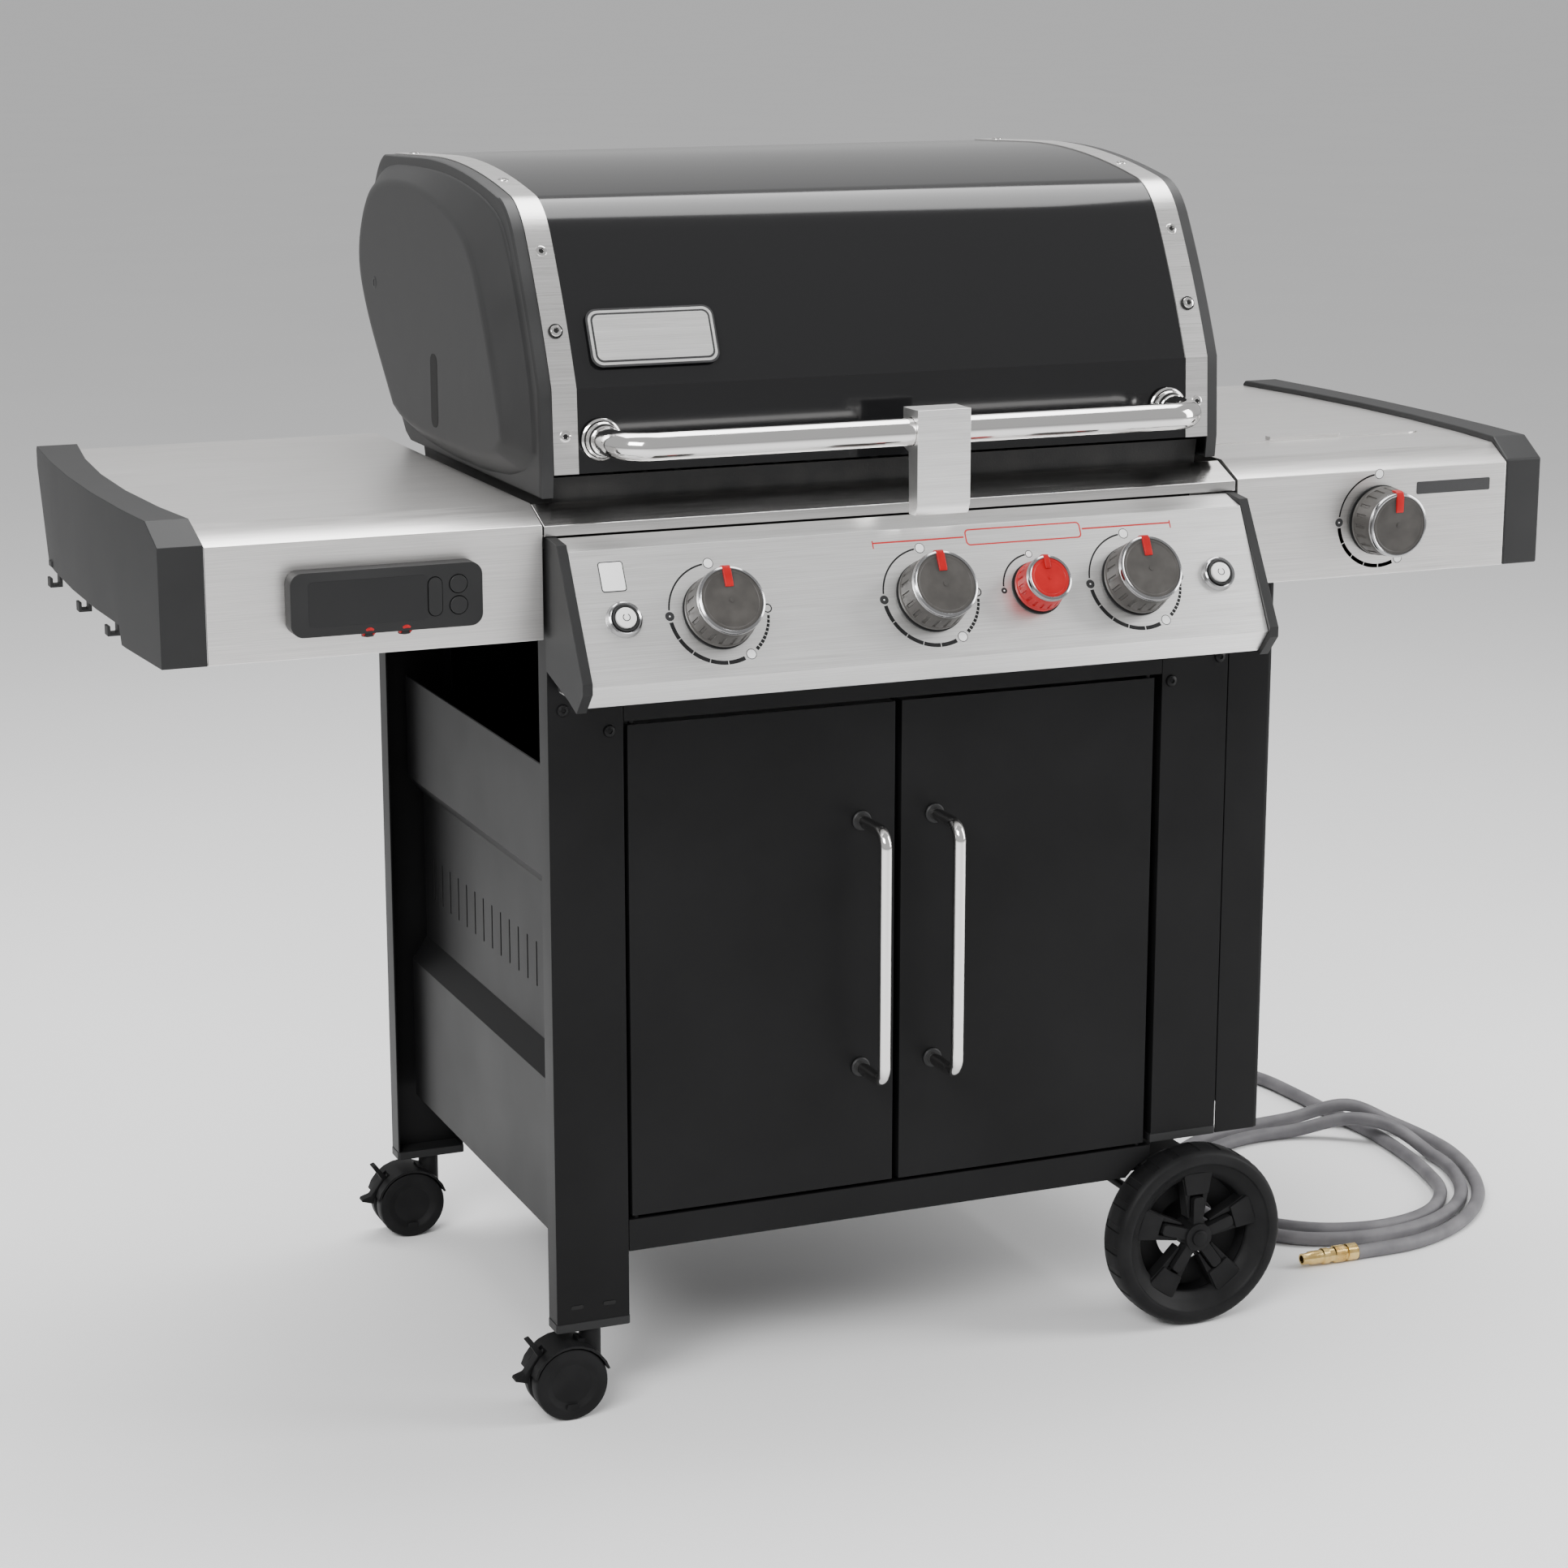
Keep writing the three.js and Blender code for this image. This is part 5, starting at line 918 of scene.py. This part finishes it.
for side, way in (("left", -1), ("right", 1)):
    shell = bmesh.new()
    ring = [shell.verts.new((way * 350.5 * mm, p.x * mm, p.y * mm)) for p in close_rim]
    edges = [shell.edges.new(pair) for pair in zip(ring, ring[1:] + ring[:1])]
    layers = [(361.5, lambda p: p), (363.2, lambda p: p.lerp(lid_heart, 0.008)),
              (363.5, lambda p: p.lerp(lid_heart, 0.018)), (364, lambda p: seen_from(lid_heart, p, shoulder)),
              (366.5, lambda p: seen_from(lid_heart, p, shoulder).lerp(lid_heart, 0.012)),
              (378, lambda p: seen_from(lid_heart, p, plateau).lerp(lid_heart, -0.03)),
              (380.6, lambda p: seen_from(lid_heart, p, plateau)),
              (381.4, lambda p: seen_from(lid_heart, p, plateau).lerp(lid_heart, 0.04))]
    flat = dict(zip(ring, close_rim))
    for x, place in layers:
        drawn = bmesh.ops.extrude_edge_only(shell, edges=edges)["geom"]
        lifted = {v for v in drawn if isinstance(v, bmesh.types.BMVert)}
        edges = [e for e in drawn if isinstance(e, bmesh.types.BMEdge) and lifted.issuperset(e.verts)]
        raised = {}
        for v in {v for e in edges for v in e.verts}:
            foot = next(e.other_vert(v) for e in v.link_edges if e.other_vert(v) in flat)
            raised[v] = flat[foot]
        for v, source in raised.items():
            spot = place(source)
            v.co = (way * x * mm, spot.x * mm, spot.y * mm)
        flat = raised
    bmesh.ops.contextual_create(shell, geom=edges)
    bmesh.ops.recalc_face_normals(shell, faces=shell.faces)
    shell.normal_update()
    crown = max(shell.faces, key=lambda f: abs(f.calc_center_median().x))
    if crown.normal.x * way < 0:
        bmesh.ops.reverse_faces(shell, faces=shell.faces)
    bmesh.ops.solidify(shell, geom=shell.faces[:], thickness=2.6 * mm)
    bmesh.ops.recalc_face_normals(shell, faces=shell.faces)
    cast = bmesh.new()
    gather(cast, shell)
    pivot = turned([(0, 0), (5, 0), (5, 14), (11, 14), (11, 40), (0, 40)], 32)
    gather(cast, pivot, seat((way * 336.5, 216.5, 1043), (way, 0, 0)))
    gather(cast, turned([(0, 0), (8, 0), (8, 1.2), (6.6, 2), (3.4, 2), (3.4, 1), (0, 1)], 28),
           seat((way * 379.8, 262, 1086), (way, 0, 0)))
    # A near-black plate on the end's face: painted shade standing in for a recessed slot.
    gather(cast, slab(rounded(22, 74, 9), 0.5), seat((way * 381.2, 55, 996), (way, 0, 0)), 1)
    fitted(f"cast_end_{side}", cast, "lid", [cast_grey, painted_gap_shade], [f"lid_end_{side}"], crease=40)

# An empty badge plate on the lid's front: a dark plate with a bright field.
plate_seat = seat((-242.5, -203.6, 1071.5), (0, -0.905, 0.425), (0, 0.425, 0.905))
plate = bmesh.new()
gather(plate, slab(rounded(130, 58, 11), 1.6, 0.4), plate_seat.copy(), 0)
gather(plate, slab(rounded(126, 54, 9.5), 1.9, 0.1), plate_seat.copy(), 1)
gather(plate, slab(rounded(121, 49, 7.5), 2.1, 0.1), plate_seat.copy(), 0)
gather(plate, slab(rounded(117, 45, 6), 2.35, 0.1), plate_seat.copy(), 1)
fitted("badge_plate", plate, "lid", [black_print, brushed_steel])

# ---- lid handle ----------------------------------------------------------------------------
# A polished tube bent back at both ends into stepped round cups, with a brushed lamp housing
# wrapped round its middle.
low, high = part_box("lid_handle")
tube_radius = 13.5
tube_y = low.y / mm + tube_radius
tube_z = (low.z + high.z) / 2 / mm
tube_x = 303
grab = bmesh.new()
gather(grab, bent_bar(tube_radius, 30, (-tube_x, high.y / mm - 1, tube_z), (0, tube_y - high.y / mm + 1, 0),
                     (2 * tube_x, 0, 0)))
for x in (-tube_x, tube_x):
    gather(grab, turned([(0, 0), (20, 0), (20, 2.4), (18.8, 3.6), (17.4, 4), (17.2, 8), (16, 9.6), (14.6, 10),
                         (14.4, 14), (13, 15), (0, 15)], 48), seat((x, high.y / mm, tube_z), (0, -1, 0)))
    # Near-black rings in the inner corner of each step of the cup: painted shade in the creases.
    for ring, rise in ((17.6, 4.6), (14.9, 10.8)):
        gather(grab, turned([(ring - 1.5, rise - 1.2), (ring + 0.5, rise - 1.2), (ring + 0.5, rise), (ring - 1.5, rise),
                             (ring - 1.5, rise - 1.2)], 48), seat((x, high.y / mm, tube_z), (0, -1, 0)), 1)
fitted("grab_tube", grab, "lid", [polished, painted_gap_shade], ["lid_handle"])
fitted("lamp_housing", eased("handle_light", 2.2, 3), "lid", [brushed_steel], ["handle_light"])
